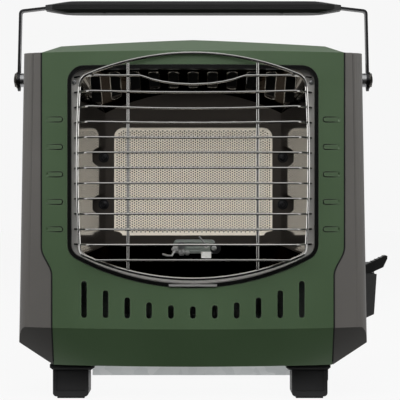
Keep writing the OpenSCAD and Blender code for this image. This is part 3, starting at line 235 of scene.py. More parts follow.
def galvanised_sheet(name):
    """Hot-dip galvanised steel: zinc crystals of about 7 mm, each with its own grey and gloss."""
    finish, tree, shader, place = start_finish(name, Metallic=1.0)
    # The crystals' borders wander by up to 4 mm, over about 9 mm
    bent = add(tree, "TexNoise", {"Vector": place, "Scale": 1000 / 9})
    shifted = add(tree, "VectorMath", {0: bent.outputs["Color"], 1: (4 * MM, 4 * MM, 4 * MM)},
                  operation="MULTIPLY")
    moved = add(tree, "VectorMath", {0: place, 1: shifted.outputs["Vector"]}, operation="ADD")
    crystal = add(tree, "TexVoronoi", {"Vector": moved.outputs["Vector"], "Scale": 1000 / 7})
    shade = add(tree, "SeparateColor", {0: crystal.outputs["Color"]})
    tone = add(tree, "Mix", {0: shade.outputs[0], 6: linear("#DFE2E2"), 7: linear("#ECEEEE")},
               data_type="RGBA")
    colour = worn(tree, tone.outputs[2], "#F2F4F4", radius_mm=0.3, amount=0.3)
    shine = add(tree, "MapRange", {"Value": shade.outputs[1], "To Min": 0.6, "To Max": 0.68})
    dress(tree, shader, colour, crystal.outputs["Distance"], depth_mm=0.02, strength=0.4,
          rough=shine.outputs["Result"])
    return finish


def cast_metal(name):
    """Die-cast aluminium: dull skin with a pebbled grain of about 0.8 mm and brighter rubbed
    edges."""
    finish, tree, shader, place = start_finish(name, Metallic=1.0)
    grain = add(tree, "TexVoronoi", {"Vector": place, "Scale": 1000 / 0.8}, feature="SMOOTH_F1")
    cloud, tone = clouded(tree, place, 12, "#9B9C9D", "#B9BABA")
    colour = worn(tree, tone, "#D5D6D6", radius_mm=0.5, amount=0.5)
    shine = add(tree, "MapRange", {"Value": cloud, "To Min": 0.42, "To Max": 0.6})
    dress(tree, shader, colour, grain.outputs["Distance"], depth_mm=0.06, strength=0.6,
          rough=shine.outputs["Result"])
    return finish


def glazed_ceramic(name):
    """Fired alumina under a clear glaze: nearly white, with a slow ripple of about 2.5 mm and a few
    darker iron specks."""
    finish, tree, shader, place = start_finish(name, IOR=1.54)
    cloud, tone = clouded(tree, place, 24, "#DCDCD6", "#EDEDE9", detail=5.0, roughness=0.6)
    specks = add(tree, "TexNoise", {"Vector": place, "Scale": 1000 / 1.6, "Detail": 0.0})
    few = add(tree, "MapRange", {"Value": specks.outputs["Fac"], "From Min": 0.72,
                                 "From Max": 0.8, "To Max": 0.5})
    spotted = add(tree, "Mix", {0: few.outputs["Result"], 6: tone, 7: linear("#A08A6C")},
                  data_type="RGBA")
    ripple = add(tree, "TexNoise", {"Vector": place, "Scale": 1000 / 2.5, "Detail": 3.0})
    shine = add(tree, "MapRange", {"Value": cloud, "To Min": 0.17, "To Max": 0.29})
    dress(tree, shader, spotted.outputs[2], ripple.outputs["Fac"], depth_mm=0.01, strength=0.6,
          rough=shine.outputs["Result"])
    return finish


def clay_with_shaded_holes(name, front):
    """Extruded porous cordierite, cream on its front face, with painted shade in dark brown on the
    walls of its holes.
    """
    finish, tree, shader, place = start_finish(name, IOR=1.54, Roughness=0.9)
    tone = clouded(tree, place, 14, "#F6EBD8", "#FFF7E8", detail=5.0, roughness=0.6)[1]
    depth = add(tree, "SeparateXYZ", {0: place})
    # The hole walls behind the front face are given painted shade, dark brown
    inside = add(tree, "MapRange", {"Value": depth.outputs["Y"], "From Min": front + 0.02 * MM,
                                    "From Max": front + 0.6 * MM})
    shaded_holes = add(tree, "Mix", {0: inside.outputs["Result"], 6: tone, 7: linear("#2A2019")},
                  data_type="RGBA")
    # Clay grain of about 0.35 mm
    pores = add(tree, "TexNoise", {"Vector": place, "Scale": 1000 / 0.35, "Detail": 3.0})
    dress(tree, shader, shaded_holes.outputs[2], pores.outputs["Fac"], depth_mm=0.03, strength=0.6)
    return finish


def pressed_fibre(name):
    """Pressed mineral fibre: off-white felt with short crossing strands about 0.6 mm wide."""
    finish, tree, shader, place = start_finish(name, IOR=1.45, Roughness=0.95)
    # Strands 3 mm long, five times finer across: one layer lies along x, the other along z
    layers = []
    for finer in ((1, 1, 5), (5, 1, 1)):
        turned = add(tree, "Mapping", {"Vector": place, "Scale": finer}).outputs["Vector"]
        layers.append(add(tree, "TexNoise", {"Vector": turned, "Scale": 1000 / 3, "Detail": 3.0}))
    felt = add(tree, "Math", {0: layers[0].outputs["Fac"], 1: layers[1].outputs["Fac"]},
               operation="MULTIPLY")
    shade = add(tree, "MapRange", {"Value": felt.outputs[0], "From Min": 0.15, "From Max": 0.4})
    tone = add(tree, "Mix", {0: shade.outputs["Result"], 6: linear("#C9C5BA"),
                             7: linear("#EDEBE4")}, data_type="RGBA")
    dress(tree, shader, tone.outputs[2], felt.outputs[0], depth_mm=0.15, strength=0.8)
    return finish


def printed_marks(name):
    """Pad-printed ink: off-white, slightly patchy where the moulding's grain shows through."""
    finish, tree, shader, place = start_finish(name, IOR=1.5, Roughness=0.6)
    patch, tone = clouded(tree, place, 0.8, "#B9B7B2", "#E6E4DF", detail=3.0)
    dress(tree, shader, tone, patch, depth_mm=0.02, strength=0.5)
    return finish


PRIMER = "#131412"
GREEN = {"dark": "#40543A", "light": "#485D42", "bare": "#74846D", "rough": 0.4,
         "primer_and_shade_coat": PRIMER}
front_enamel = stoved_enamel("stoved_enamel_green_front", primer_and_shade_side=BACK, **GREEN)
roof_enamel = stoved_enamel("stoved_enamel_green_roof", primer_and_shade_side=DOWN, **GREEN)
rear_enamel = stoved_enamel("stoved_enamel_green_rear", primer_and_shade_side=FRONT, **GREEN)
# The covers' downward-looking lower slopes take a darker grey: painted shade
grey_enamel = stoved_enamel("stoved_enamel_warm_grey", "#585653", "#63605D", "#83807C",
                            rough=0.46, primer_and_shade_side=DOWN, primer_and_shade_coat="#3E3D3B")
black_moulding = moulded_plastic("moulded_nylon_black", "#0B0B0B", "#121212", "#1F1F1F",
                                 rough=0.46, grain_mm=0.5, grain_depth_mm=0.03)
trim_moulding = moulded_plastic("moulded_phenolic_black", "#060606", "#0A0A0A", "#1A1A1A",
                                rough=0.28, grain_mm=0.5, grain_depth_mm=0.02)
feet_moulding = moulded_plastic("moulded_abs_black", "#0A0A0B", "#111112", "#2E2E2E",
                                rough=0.5, grain_mm=0.6, grain_depth_mm=0.04)
pad_rubber = moulded_plastic("moulded_rubber_black", "#0C0C0C", "#131313", "#222222",
                             rough=0.8, grain_mm=0.9, grain_depth_mm=0.06)
zinc_sheet = galvanised_sheet("hot_dip_galvanised_steel")
pan_metal = polished_pan("mirror_polished_stainless_steel")
plain_steel = bright_metal("zinc_plated_steel", "#A4A5A6", "#BFC0C1",
                           rough=0.34, line_mm=1.2, line_depth_mm=0.01)
nut_steel = bright_metal("bright_zinc_plated_steel", "#D8D8D6", "#EDEDEB",
                         rough=0.45, line_mm=1.2, line_depth_mm=0.01)
# The bolt heads' edges are worn bright, and their cream wear colour also serves as a painted
# highlight
pivot_steel = bright_metal("blackened_steel", "#45433F", "#5C5955", bare="#C9C4B8", edge=0.7,
                           rough=0.35, line_mm=1.2, line_depth_mm=0.01)
bail_black = bright_metal("black_chromated_steel_strip", "#3A3A3C", "#4B4B4D", bare="#77777A",
                          edge=0.4, rough=0.38, line_mm=1.6, line_depth_mm=0.01, finer=(1, 6, 1))
burner_steel = bright_metal("pressed_aluminised_steel", "#8E8D8B", "#A9A8A5",
                            rough=0.42, line_mm=2.0, line_depth_mm=0.02, finer=(1, 6, 1))
pilot_coat = bright_metal("aluminised_pilot_sheet", "#B3BCB5", "#CBD2CC",
                          rough=0.6, line_mm=1.0, line_depth_mm=0.02, finer=(6, 1, 1))
clip_steel = bright_metal("brushed_stainless_strip", "#E3E2DF", "#F0EFEC",
                          rough=0.55, line_mm=1.0, line_depth_mm=0.01, finer=(6, 1, 1))
plated_wire = bright_metal("bright_nickel_plated_wire", "#ACABA8", "#C1C0BD",
                           rough=0.18, line_mm=1.5, line_depth_mm=0.006, finer=(1, 1, 6))
turned_brass = bright_metal("turned_brass", "#B0924F", "#CDB06A", bare="#E8D49A", edge=0.3,
                            rough=0.3, line_mm=1.0, line_depth_mm=0.012, finer=(6, 1, 1))
alloy_casting = cast_metal("die_cast_aluminium")
plaque_clay = clay_with_shaded_holes("extruded_cordierite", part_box("ceramic_plaque")[0].y)
white_glaze = glazed_ceramic("glazed_alumina")
felt_gasket = pressed_fibre("pressed_mineral_fibre")
mark_paint = printed_marks("pad_printed_ink")

pieces_in = (
    (front_enamel, "front_panel"),
    (roof_enamel, "roof_panel"),
    (rear_enamel, "rear_panel"),
    (grey_enamel, "left_cover right_cover"),
    (trim_moulding, "trim_ring"),
    (black_moulding, "cartridge_door control_knob control_bezel lock_lever grip_upper grip_lower"),
    (feet_moulding, "front_feet rear_feet"),
    (pad_rubber, "foot_pads"),
    (zinc_sheet, "base_plate bay_shield cartridge_tray jet_bracket regulator_bracket lock_slide "
                 "slide_bracket pilot_bracket"),
    (pan_metal, "reflector"),
    (burner_steel, "burner_box mixing_tube"),
    (plain_steel, "door_hinge_pin lever_pin valve_stem spark_electrode thermocouple grip_screws "
                  "pivot_spacers foot_screws rear_screws reflector_screws"),
    (bail_black, "handle_bail"),
    (plated_wire, "guard_frame guard_wires guard_uprights"),
    (clip_steel, "guard_clip"),
    (turned_brass, "jet_holder gas_pipe supply_pipe control_valve cartridge_connector"),
    (pivot_steel, "pivot_bolts"),
    (alloy_casting, "regulator"),
    (plaque_clay, "ceramic_plaque"),
    (white_glaze, "electrode_insulator"),
    (felt_gasket, "plaque_gasket"),
)
for finish, names in pieces_in:
    for name in names.split():
        coats = nodes[name].data.materials
        if not coats:
            coats.append(finish)
        for index in range(len(coats)):
            coats[index] = finish


# ---- small building steps for the pieces below ----

def at(x, y, z):
    """A point of the heater in millimetres: x from the middle of the body, y back from the panel's
    side edges, z up from the ground. The frame's origin is below the middle of the whole heater."""
    return Vector((x - SHIFT_X, y - SHIFT_Y, z)) * MM


def put_in_scene(name, data):
    """An object that shows that mesh, lamp or camera."""
    thing = bpy.data.objects.new(name, data)
    scene.collection.objects.link(thing)
    return thing


def finished_piece(name, bm, finish, smooth=None, body="housing"):
    """Puts a piece into the scene with its faces outwards and its finish, riding on its body. Bends
    of up to that many degrees are shaded as round."""
    bmesh.ops.remove_doubles(bm, verts=bm.verts, dist=0.01 * MM)
    bmesh.ops.recalc_face_normals(bm, faces=bm.faces)
    mesh = bpy.data.meshes.new(name)
    bm.to_mesh(mesh)
    bm.free()
    mesh.materials.append(finish)
    if smooth is not None:
        mesh.shade_smooth()
        mesh.set_sharp_from_angle(angle=math.radians(smooth))
    piece = put_in_scene(name, mesh)
    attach(piece, body)
    return piece


def corners_of(name):
    """The corners of a CAD node, in the frame's metres."""
    return [nodes[name].matrix_world @ v.co for v in nodes[name].data.vertices]


def cad_surface(*names):
    """A ray-cast tree over CAD nodes, in the frame's metres."""
    corners, faces = [], []
    for name in names:
        start = len(corners)
        corners += corners_of(name)
        faces += [[start + i for i in face.vertices] for face in nodes[name].data.polygons]
    return BVHTree.FromPolygons(corners, faces)


def left_and_right(name):
    """The corners of the left and the right piece of a CAD node, in the frame's metres."""
    corners, middle = corners_of(name), sum(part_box(name), Vector()).x / 2
    return [[p for p in corners if p.x < middle], [p for p in corners if p.x > middle]]


def arc(x, y, radius, start, end, steps, flat=1.0):
    """Points along an arc about (x, y) from one angle in degrees to another, flattened along y."""
    turns = [math.radians(start + (end - start) * k / steps) for k in range(steps + 1)]
    return [(x + radius * math.cos(a), y + radius * flat * math.sin(a)) for a in turns]


def circle(x, y, radius, count):
    """That many points round a circle."""
    return arc(x, y, radius, 0, 360, count)[:-1]


def loop(start, count):
    """Lines that join that many neighbouring points, and the last to the first."""
    return [(start + k, start + (k + 1) % count) for k in range(count)]


def filled_plan(plan, lines, is_open):
    """Fills a plan with triangles, apart from those whose middle lies in an opening."""
    points, _, faces, *_ = delaunay_2d_cdt([Vector(p) for p in plan], lines, [], 0, 0.5 * MM)
    middles = [sum((points[i] for i in face), Vector((0, 0))) / len(face) for face in faces]
    return points, [face for face, middle in zip(faces, middles) if not is_open(*middle)]


def around(axis):
    """An axis and two directions square to it and to each other."""
    axis = Vector(axis).normalized()
    side = axis.orthogonal() if abs(axis.z) > 0.9 else UP.cross(axis)
    side.normalize()
    return axis, side, axis.cross(side)


def ring(bm, centre, axes, outline, height=0.0):
    """Corners along an outline of (across, up) in mm, that many mm along the axis from a point."""
    axis, side, up = axes
    return [bm.verts.new(centre + (axis * height + side * x + up * y) * MM) for x, y in outline]


def skin(bm, rings, ends=(0, -1)):
    """Faces from ring to ring of corners, and a face over each ring that is named as an end."""
    for low, high in zip(rings, rings[1:]):
        for k in range(len(low)):
            n = (k + 1) % len(low)
            bm.faces.new([low[k], low[n], high[n], high[k]])
    for end in ends:
        bm.faces.new(rings[end])


def turned_part(bm, centre, axis, profile, count=32, ends=(0, -1)):
    """Turns a profile of (height along the axis, radius) in mm about an axis through a point."""
    axes = around(axis)
    skin(bm, [ring(bm, centre, axes, circle(0, 0, radius, count), height)
              for height, radius in profile], ends)


def drawn_wire(bm, points, radius, count=8):
    """Sweeps a round wire of that radius in mm along points in metres."""
    rings, side = [], None
    for before, point, after in zip(points[:1] + points, points, points[1:] + points[-1:]):
        along = (after - before).normalized()
        side = around(along)[1] if side is None else (side - along * side.dot(along)).normalized()
        rings.append(ring(bm, point, (along, side, along.cross(side)), circle(0, 0, radius, count)))
    skin(bm, rings)


def pressed_plate(bm, outline, centre, axis, thick, soft=0.15):
    """A plate with an outline of (across, up) in mm and soft front edges, lying behind a point."""
    axis, side, up = around(axis)
    axes = axis, -side if side.x < 0 else side, -up if up.z < 0 else up
    corners = [Vector(p) for p in outline]
    middle = sum(corners, Vector((0, 0))) / len(corners)
    rings = []
    for height, inset in ((-thick, 0.0), (-soft, 0.0), (0.0, soft)):
        drawn_in = [p - (p - middle).normalized() * inset for p in corners]
        rings.append(ring(bm, centre, axes, drawn_in, height))
    skin(bm, rings)


def cross_screw(bm, centre, axis, radius, rise, washer=0.0):
    """A pan-head screw with a cross recess, its seat at the point, with a washer if it has one."""
    seat, shank, rim = 0.0, radius * 0.5, radius * 0.76
    if washer:
        turned_part(bm, centre, axis, [(0.0, washer), (0.5, washer), (0.65, washer - 0.2),
                                       (0.65, shank)])
        seat = 0.6
    top, crown = seat + rise, seat + rise * 0.95
    turned_part(bm, centre, axis, [(seat, shank), (seat, radius * 0.97),
                                   (seat + rise * 0.35, radius),
                                   (seat + rise * 0.8, radius * 0.9), (crown, rim)], ends=(0,))
    # The recess has four arms, half as long and half as wide as this, and a smaller floor
    arm, slim = radius * 0.56, radius * 0.16
    recess = [(arm, slim), (slim, slim), (slim, arm)]
    for _ in range(3):
        recess += [(-y, x) for x, y in recess[-3:]]

    def over_recess(x, y):
        """True over one of the arms."""
        return (abs(x) < arm and abs(y) < slim) or (abs(y) < arm and abs(x) < slim)

    edge = circle(0, 0, rim, 32)
    points, faces = filled_plan(edge + recess, loop(0, 32) + loop(32, 12), over_recess)
    axes = around(axis)
    head = ring(bm, centre, axes, points[:32], crown) + ring(bm, centre, axes, points[32:], top)
    for face in faces:
        bm.faces.new([head[i] for i in face])
    skin(bm, [ring(bm, centre, axes, recess, top),
              ring(bm, centre, axes, [(x * 0.8, y * 0.8) for x, y in recess], top - rise * 0.6)],
         ends=(-1,))


def hex_nut(bm, centre, axis, across, height):
    """A hexagon nut with chamfered corners."""
    corner = across / math.sqrt(3)
    turned_part(bm, centre, axis, [(0.0, corner * 0.94), (height * 0.12, corner),
                                   (height * 0.88, corner), (height, corner * 0.92)], count=6)


def soften(name, width_mm, segments=3):
    """Rounds the hard edges of a moulded or pressed part."""
    hard_edge = math.radians(38)
    node = nodes[name]
    round_over = node.modifiers.new("round_over", "BEVEL")
    round_over.width = width_mm * MM
    round_over.segments = segments
    round_over.limit_method = "ANGLE"
    round_over.angle_limit = hard_edge
    node.data.shade_smooth()
    node.data.set_sharp_from_angle(angle=hard_edge)


AHEAD_Y = -60    # mm, clear in front of the guard; rays start there


# ---- ceramic plaque with its fire holes ----

HOLE_PITCH = 2.1    # mm between neighbouring holes, which lie in a triangular pattern
COLUMN_STEP = HOLE_PITCH * math.cos(math.pi / 6)    # mm between upright columns of holes
ROW_STEP = HOLE_PITCH / 2    # mm between rows; every second hole of a row belongs to the next one
HOLE_D = 1.25       # mm
HOLE_DEPTH = 9.0    # mm drawn; the real ones go through
HOLE_SIDES = 8      # two for each side of the lozenge-shaped cell round a hole
PLAIN_RIM = 2.3     # mm without holes inside the pan's window
WINDOW_LIP = 3.0    # mm of the plaque's edge behind the pan's window
WINDOW_CORNER = 8.0    # mm, radius of the window's upper corners
NOTCH_H, NOTCH_STRETCH = 3.6, 1.9    # the window's lower corners: mm high, and times wider


def inside_window(x, z, low, high, half):
    """True inside the pan's window, whose upper corners are round and lower corners notched."""
    if abs(x) > half - PLAIN_RIM or not low + PLAIN_RIM < z < high - PLAIN_RIM:
        return False
    over_x, over_z = abs(x) - half + WINDOW_CORNER, z - high + WINDOW_CORNER
    if over_x > 0 and over_z > 0:
        return math.hypot(over_x, over_z) < WINDOW_CORNER - PLAIN_RIM
    return math.hypot((abs(x) - half) / NOTCH_STRETCH, z - low) > NOTCH_H + PLAIN_RIM


def fire_holes(low, high, half):
    """Column, row and middle of each hole, in staggered rows."""
    rows = int((high - low) / ROW_STEP)
    columns = int(half / COLUMN_STEP)
    found = []
    for row in range(-rows // 2, rows // 2 + 1):
        for column in range(-columns, columns + 1):
            x, z = column * COLUMN_STEP, (low + high) / 2 + row * ROW_STEP
            if (row + column) % 2 == 0 and inside_window(x, z, low, high, half):
                found.append((column, row, x, z))
    return found


def perforated_plaque():
    """The plaque, drawn from its front: a lozenge-shaped cell round each hole, whose corners it
    shares with its neighbours, then the plain rim round all cells, then its sides and back."""
    low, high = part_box("ceramic_plaque")
    front, back = low.y / MM, high.y / MM
    middle, half = (low.x + high.x) / 2 / MM, (high.x - low.x) / 2 / MM
    bottom, top = low.z / MM, high.z / MM
    holes = fire_holes(bottom + WINDOW_LIP, top - WINDOW_LIP, half - WINDOW_LIP)
    bm = bmesh.new()
    known = {}

    def vert(point, y):
        """The corner at that (x, z) and depth in mm, made once and shared."""
        key = (round(point[0], 3), round(point[1], 3), round(y, 3))
        if key not in known:
            known[key] = bm.verts.new(((point[0] + middle) * MM, y * MM, point[1] * MM))
        return known[key]

    def flat(points, y=front):
        """A face that looks forward or back, at that depth."""
        bm.faces.new([vert(p, y) for p in points])

    def walls(outline, y):
        """Walls from the front back to that depth, with a face behind them."""
        for p, q in zip(outline, outline[1:] + outline[:1]):
            bm.faces.new([vert(p, front), vert(q, front), vert(q, y), vert(p, y)])
        flat(outline, y)

    edge_uses = {}
    for column, row, x, z in holes:
        corners = [(x + COLUMN_STEP, z), (x, z + ROW_STEP), (x - COLUMN_STEP, z), (x, z - ROW_STEP)]
        mouth = circle(x, z, HOLE_D / 2, HOLE_SIDES)
        for k in range(4):
            a, b = corners[k], corners[(k + 1) % 4]
            m = ((a[0] + b[0]) / 2, (a[1] + b[1]) / 2)
            by_a, by_m, by_b = mouth[2 * k], mouth[2 * k + 1], mouth[(2 * k + 2) % HOLE_SIDES]
            flat((a, m, by_m, by_a))
            flat((m, b, by_b, by_m))
            for edge in ((a, m), (m, b)):
                key = frozenset([(round(p[0], 3), round(p[1], 3)) for p in edge])
                edge_uses[key] = edge_uses.get(key, 0) + 1
        walls(mouth, front + HOLE_DEPTH)
    # The plain rim lies between the plaque's outline and the edges that only one cell has
    outline = [(-half, bottom), (half, bottom), (half, top), (-half, top)]
    plan, lines, index = list(outline), loop(0, 4), {}
    for edge, uses in edge_uses.items():
        if uses == 1:
            for p in edge:
                if p not in index:
                    index[p] = len(plan)
                    plan.append(p)
            lines.append(tuple(index[p] for p in edge))
    cells = {(column, row) for column, row, _, _ in holes}

    def over_a_cell(x, z):
        """True where a cell, whose corners lie one step from its middle, fills the front."""
        u, v = x / COLUMN_STEP, (z - (bottom + top) / 2) / ROW_STEP
        near = [(i, j) for i in range(math.floor(u) - 1, math.floor(u) + 3)
                for j in range(math.floor(v) - 1, math.floor(v) + 3) if (i, j) in cells]
        return any(abs(u - i) + abs(v - j) < 1.001 for i, j in near)

    points, faces = filled_plan(plan, lines, over_a_cell)
    for face in faces:
        flat([points[i] for i in face])
    walls(outline, back)
    plaque = finished_piece("perforated_plaque", bm, plaque_clay)
    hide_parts("ceramic_plaque")


# ---- pressed rims of the pan's louvres ----

LOUVRES_ASIDE = 5     # louvres on each side of the middle one
LOUVRE_STEP = 15.8    # mm from louvre to louvre
LOUVRE_HALF = 4.1     # mm, half a louvre's width
LOUVRE_FRONT, LOUVRE_BACK = 8.0, 41.6    # mm, the ends of its straight sides
RIM_R = 0.55          # mm


def louvre_rims():
    """A rolled rim round each louvre, lying on the inside of the pan's top wall. Where the wall
    drops away, such as at the flange, the rim stops and starts again."""
    length = LOUVRE_BACK - LOUVRE_FRONT
    outline = arc(0, LOUVRE_FRONT, LOUVRE_HALF, 180, 360, 12)
    outline += [(LOUVRE_HALF, LOUVRE_FRONT + length * k / 10) for k in range(1, 11)]
    outline += arc(0, LOUVRE_BACK, LOUVRE_HALF, 0, 180, 12, flat=0.5)[1:-1]
    outline += [(-LOUVRE_HALF, LOUVRE_BACK - length * k / 10) for k in range(10)]
    pan, inside_z, reach, gap = cad_surface("reflector"), 205, 75 * MM, 7 * MM
    bm = bmesh.new()
    for i in range(-LOUVRES_ASIDE, LOUVRES_ASIDE + 1):
        runs = [[]]
        for x, y in outline + outline[:1]:
            hit = pan.ray_cast(at(i * LOUVRE_STEP + x, y, inside_z), UP, reach)[0]
            if hit is None or runs[-1] and (hit - runs[-1][-1]).length >= gap:
                runs.append([])
            if hit is not None:
                runs[-1].append(hit)
        for run in runs:
            if len(run) > 3:
                drawn_wire(bm, run, RIM_R)
    finished_piece("louvre_rims", bm, plated_wire, smooth=40)


# ---- screws: places in mm, the same on the left and the right ----

def mouth_screws():
    """Pan-head screws: four black ones with washers for the burner, two bright ones for the pan."""
    burner_x, burner_y, burner_levels = 74.6, 55.3, (157.3, 196.5)
    bm = bmesh.new()
    for side in (-1, 1):
        for z in burner_levels:
            cross_screw(bm, at(side * burner_x, burner_y, z), FRONT, radius=3.1, rise=1.6,
                        washer=4.4)
    finished_piece("burner_screws", bm, bail_black, smooth=30)
    flange_x, flange_y, flange_z = 94.6, -2.2, 255.0
    bm = bmesh.new()
    for side in (-1, 1):
        cross_screw(bm, at(side * flange_x, flange_y, flange_z), FRONT, radius=1.9, rise=0.9)
    screws = finished_piece("flange_screws", bm, plain_steel, smooth=30)
    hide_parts("reflector_screws")


def rear_cover_screws():
    """Pan-head screws with washers that hold the rear panel."""
    rear_x, rear_y, rear_levels = 121.0, 154.4, (128.4, 253.0)
    bm = bmesh.new()
    for side in (-1, 1):
        for z in rear_levels:
            cross_screw(bm, at(side * rear_x, rear_y, z), BACK, radius=3.4, rise=1.9, washer=4.6)
    screws = finished_piece("rear_cover_screws", bm, plain_steel, smooth=30)
    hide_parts("rear_screws")


# ---- pilot group ----

PLATE_LOW, PLATE_HIGH = 116.9, 128.0       # mm above the ground
PLATE_LEFT, PLATE_RIGHT = -16.4, 17.8      # mm from the middle
PLATE_CORNER, PLATE_Y = 3.5, 41.0          # mm, radius of its upper corners and its front face
PLATE_RIBS = (118.6, 121.2, 123.8, 126.3)  # mm above the ground
RIB_HALF, RIB_R = 14.2, 0.55               # mm
# Each gland nut's place, size across its flats and height, in mm: thermocouple, spark, pilot jet
GLAND_NUTS = (((-14.6, 40.2, 120.2), 6.0, 3.2), ((-9.4, 39.4, 118.0), 5.6, 3.6),
              ((-4.9, 39.4, 117.6), 4.2, 3.0))
BLOCK_LEFT, BLOCK_RIGHT, BLOCK_TOP = 6.6, 14.8, 118.5    # mm, with corners cut off by half a mm
BLOCK_Y, BLOCK_DEEP = 33.2, 6.4    # mm
LUG_X, LUG_Z, LUG_R = 18.4, 121.0, 4.6    # mm
SCREW_X, SCREW_Z, LUG_Y = 17.2, 121.3, 40.9    # mm
PAN_FLOOR = 112.0    # mm above the ground, where nothing else is found


def pilot_group():
    """Ribbed pilot plate, its gland nuts, the white ceramic foot block and the screw and lug."""
    pan, above, reach = cad_surface("reflector"), 135, 60 * MM

    def over_floor(x, y, lift):
        """A point that many mm above the pan's floor."""
        hit = pan.ray_cast(at(x, y, above), DOWN, reach)[0]
        return at(x, y, (hit.z / MM if hit is not None else PAN_FLOOR) + lift)

    bm = bmesh.new()
    bend = PLATE_HIGH - PLATE_CORNER
    outline = [(PLATE_LEFT, PLATE_LOW), (PLATE_RIGHT, PLATE_LOW), (PLATE_RIGHT, bend - 1)]
    outline += arc(PLATE_RIGHT - PLATE_CORNER, bend, PLATE_CORNER, 0, 90, 6)[1:]
    outline += arc(PLATE_LEFT + PLATE_CORNER, bend, PLATE_CORNER, 90, 180, 6)
    pressed_plate(bm, outline, at(0, PLATE_Y, 0), FRONT, thick=0.8)
    for z in PLATE_RIBS:
        drawn_wire(bm, [at(RIB_HALF * (k / 5 - 1), PLATE_Y - 0.05, z) for k in range(11)], RIB_R)
    finished_piece("pilot_plate", bm, pilot_coat, smooth=35)

    bm = bmesh.new()
    for (x, y, z), across, height in GLAND_NUTS:
        hex_nut(bm, at(x, y, z), FRONT, across, height)
        sleeve = across * 0.36
        turned_part(bm, at(x, y + 1.2, z), FRONT, [(0, sleeve), (height + 1.2, sleeve),
                                                   (height + 2.4, across * 0.34),
                                                   (height + 2.8, across * 0.26)])
    # Tube of the thermocouple, from its nut down on to the pan's floor and aside
    drawn_wire(bm, [at(-14.6, 37.2, 120.2), at(-15.6, 35.4, 118.6), over_floor(-17.4, 34.6, 1.2),
                    over_floor(-21.0, 35.4, 0.9), over_floor(-25.0, 38.5, 0.9)],
               radius=0.9, count=10)
    finished_piece("pilot_gland_nuts", bm, nut_steel, smooth=30)

    bm = bmesh.new()
    base = over_floor(10.7, 33.5, -0.4).z / MM
    outline = [(BLOCK_LEFT, base), (BLOCK_RIGHT, base), (BLOCK_RIGHT, BLOCK_TOP - 0.5),
               (BLOCK_RIGHT - 0.5, BLOCK_TOP), (BLOCK_LEFT + 0.5, BLOCK_TOP),
               (BLOCK_LEFT, BLOCK_TOP - 0.5)]
    pressed_plate(bm, outline, at(0, BLOCK_Y, 0), FRONT, thick=BLOCK_DEEP, soft=0.4)
    finished_piece("pilot_ceramic_block", bm, white_glaze, smooth=30)

    bm = bmesh.new()
    pressed_plate(bm, circle(LUG_X, LUG_Z, LUG_R, 24), at(0, LUG_Y, 0), FRONT, thick=0.9)
    finished_piece("pilot_lug", bm, bail_black, smooth=35)
    bm = bmesh.new()
    cross_screw(bm, at(SCREW_X, LUG_Y, SCREW_Z), FRONT, radius=2.2, rise=1.5)
    finished_piece("pilot_screw", bm, nut_steel, smooth=30)


# ---- welds of the guard ----

UPRIGHT_X = 51.0             # mm from the middle to each upright
WELD_Y = -23.15              # mm, where the cross wires touch the uprights
BEAD = (1.75, 0.75, 1.45)    # mm, half width, depth and height


def guard_welds():
    """A small flat bead where each cross wire lies on an upright. The wires are felt for from in
    front, in fine steps upwards."""
    low, high, step, reach = 95, 275, 0.25, 80 * MM
    wires = cad_surface("guard_wires")
    bm = bmesh.new()
    for x in (-UPRIGHT_X, UPRIGHT_X):
        crossings = []
        for z in (low + step * k for k in range(round((high - low) / step))):
            if wires.ray_cast(at(x, AHEAD_Y, z), BACK, reach)[0] is None:
                continue
            if crossings and z - crossings[-1][-1] < 2.4 * step:
                crossings[-1].append(z)
            else:
                crossings.append([z])
        for run in crossings:
            middle = at(x, WELD_Y, sum(run) / len(run))
            for v in bmesh.ops.create_icosphere(bm, subdivisions=2, radius=1.0)["verts"]:
                v.co = middle + Vector([c * half for c, half in zip(v.co, BEAD)]) * MM
    finished_piece("guard_welds", bm, plated_wire, smooth=40)


# ---- outside details ----

SEAM_X, SEAM_STEP_OUT = 112.5, 8.5    # mm: seam below the waist, and how much wider it gets above
WAIST_Z, WAIST_H = 101, 22            # mm: where it starts to widen, and over what height
PANEL_SIDE, COVER_SIDE = -0.8, 1.3    # mm from the seam, where each side is felt for
CORD_X, CORD_R, CORD_SUNK = 0.25, 0.68, 0.2    # mm: beside the seam, radius, and behind its edges


def seam_shade_cords():
    """A thin black cord along the seam between the front panel and each side cover: a dark piece
    put where there is only the seam's shadow, as painted shade.
    """
    panel, cover = cad_surface("front_panel"), cad_surface("left_cover", "right_cover")
    low, high, step, reach = 31, 280, 2, 90 * MM
    bm = bmesh.new()
    for side in (-1, 1):
        run = []
        for z in range(low, high, step):
            rise = min(max((z - WAIST_Z) / WAIST_H, 0.0), 1.0)
            x = SEAM_X + SEAM_STEP_OUT * rise * rise * (3 - 2 * rise)
            here = panel.ray_cast(at(side * (x + PANEL_SIDE), AHEAD_Y, z), BACK, reach)[0]
            there = cover.ray_cast(at(side * (x + COVER_SIDE), AHEAD_Y, z), BACK, reach)[0]
            if here is not None and there is not None:
                spot = at(side * (x + CORD_X), 0, z)
                spot.y = (here.y + there.y) / 2 + CORD_SUNK * MM
                run.append(spot)
        drawn_wire(bm, run, CORD_R)
    finished_piece("seam_shade_cords", bm, pad_rubber, smooth=40)


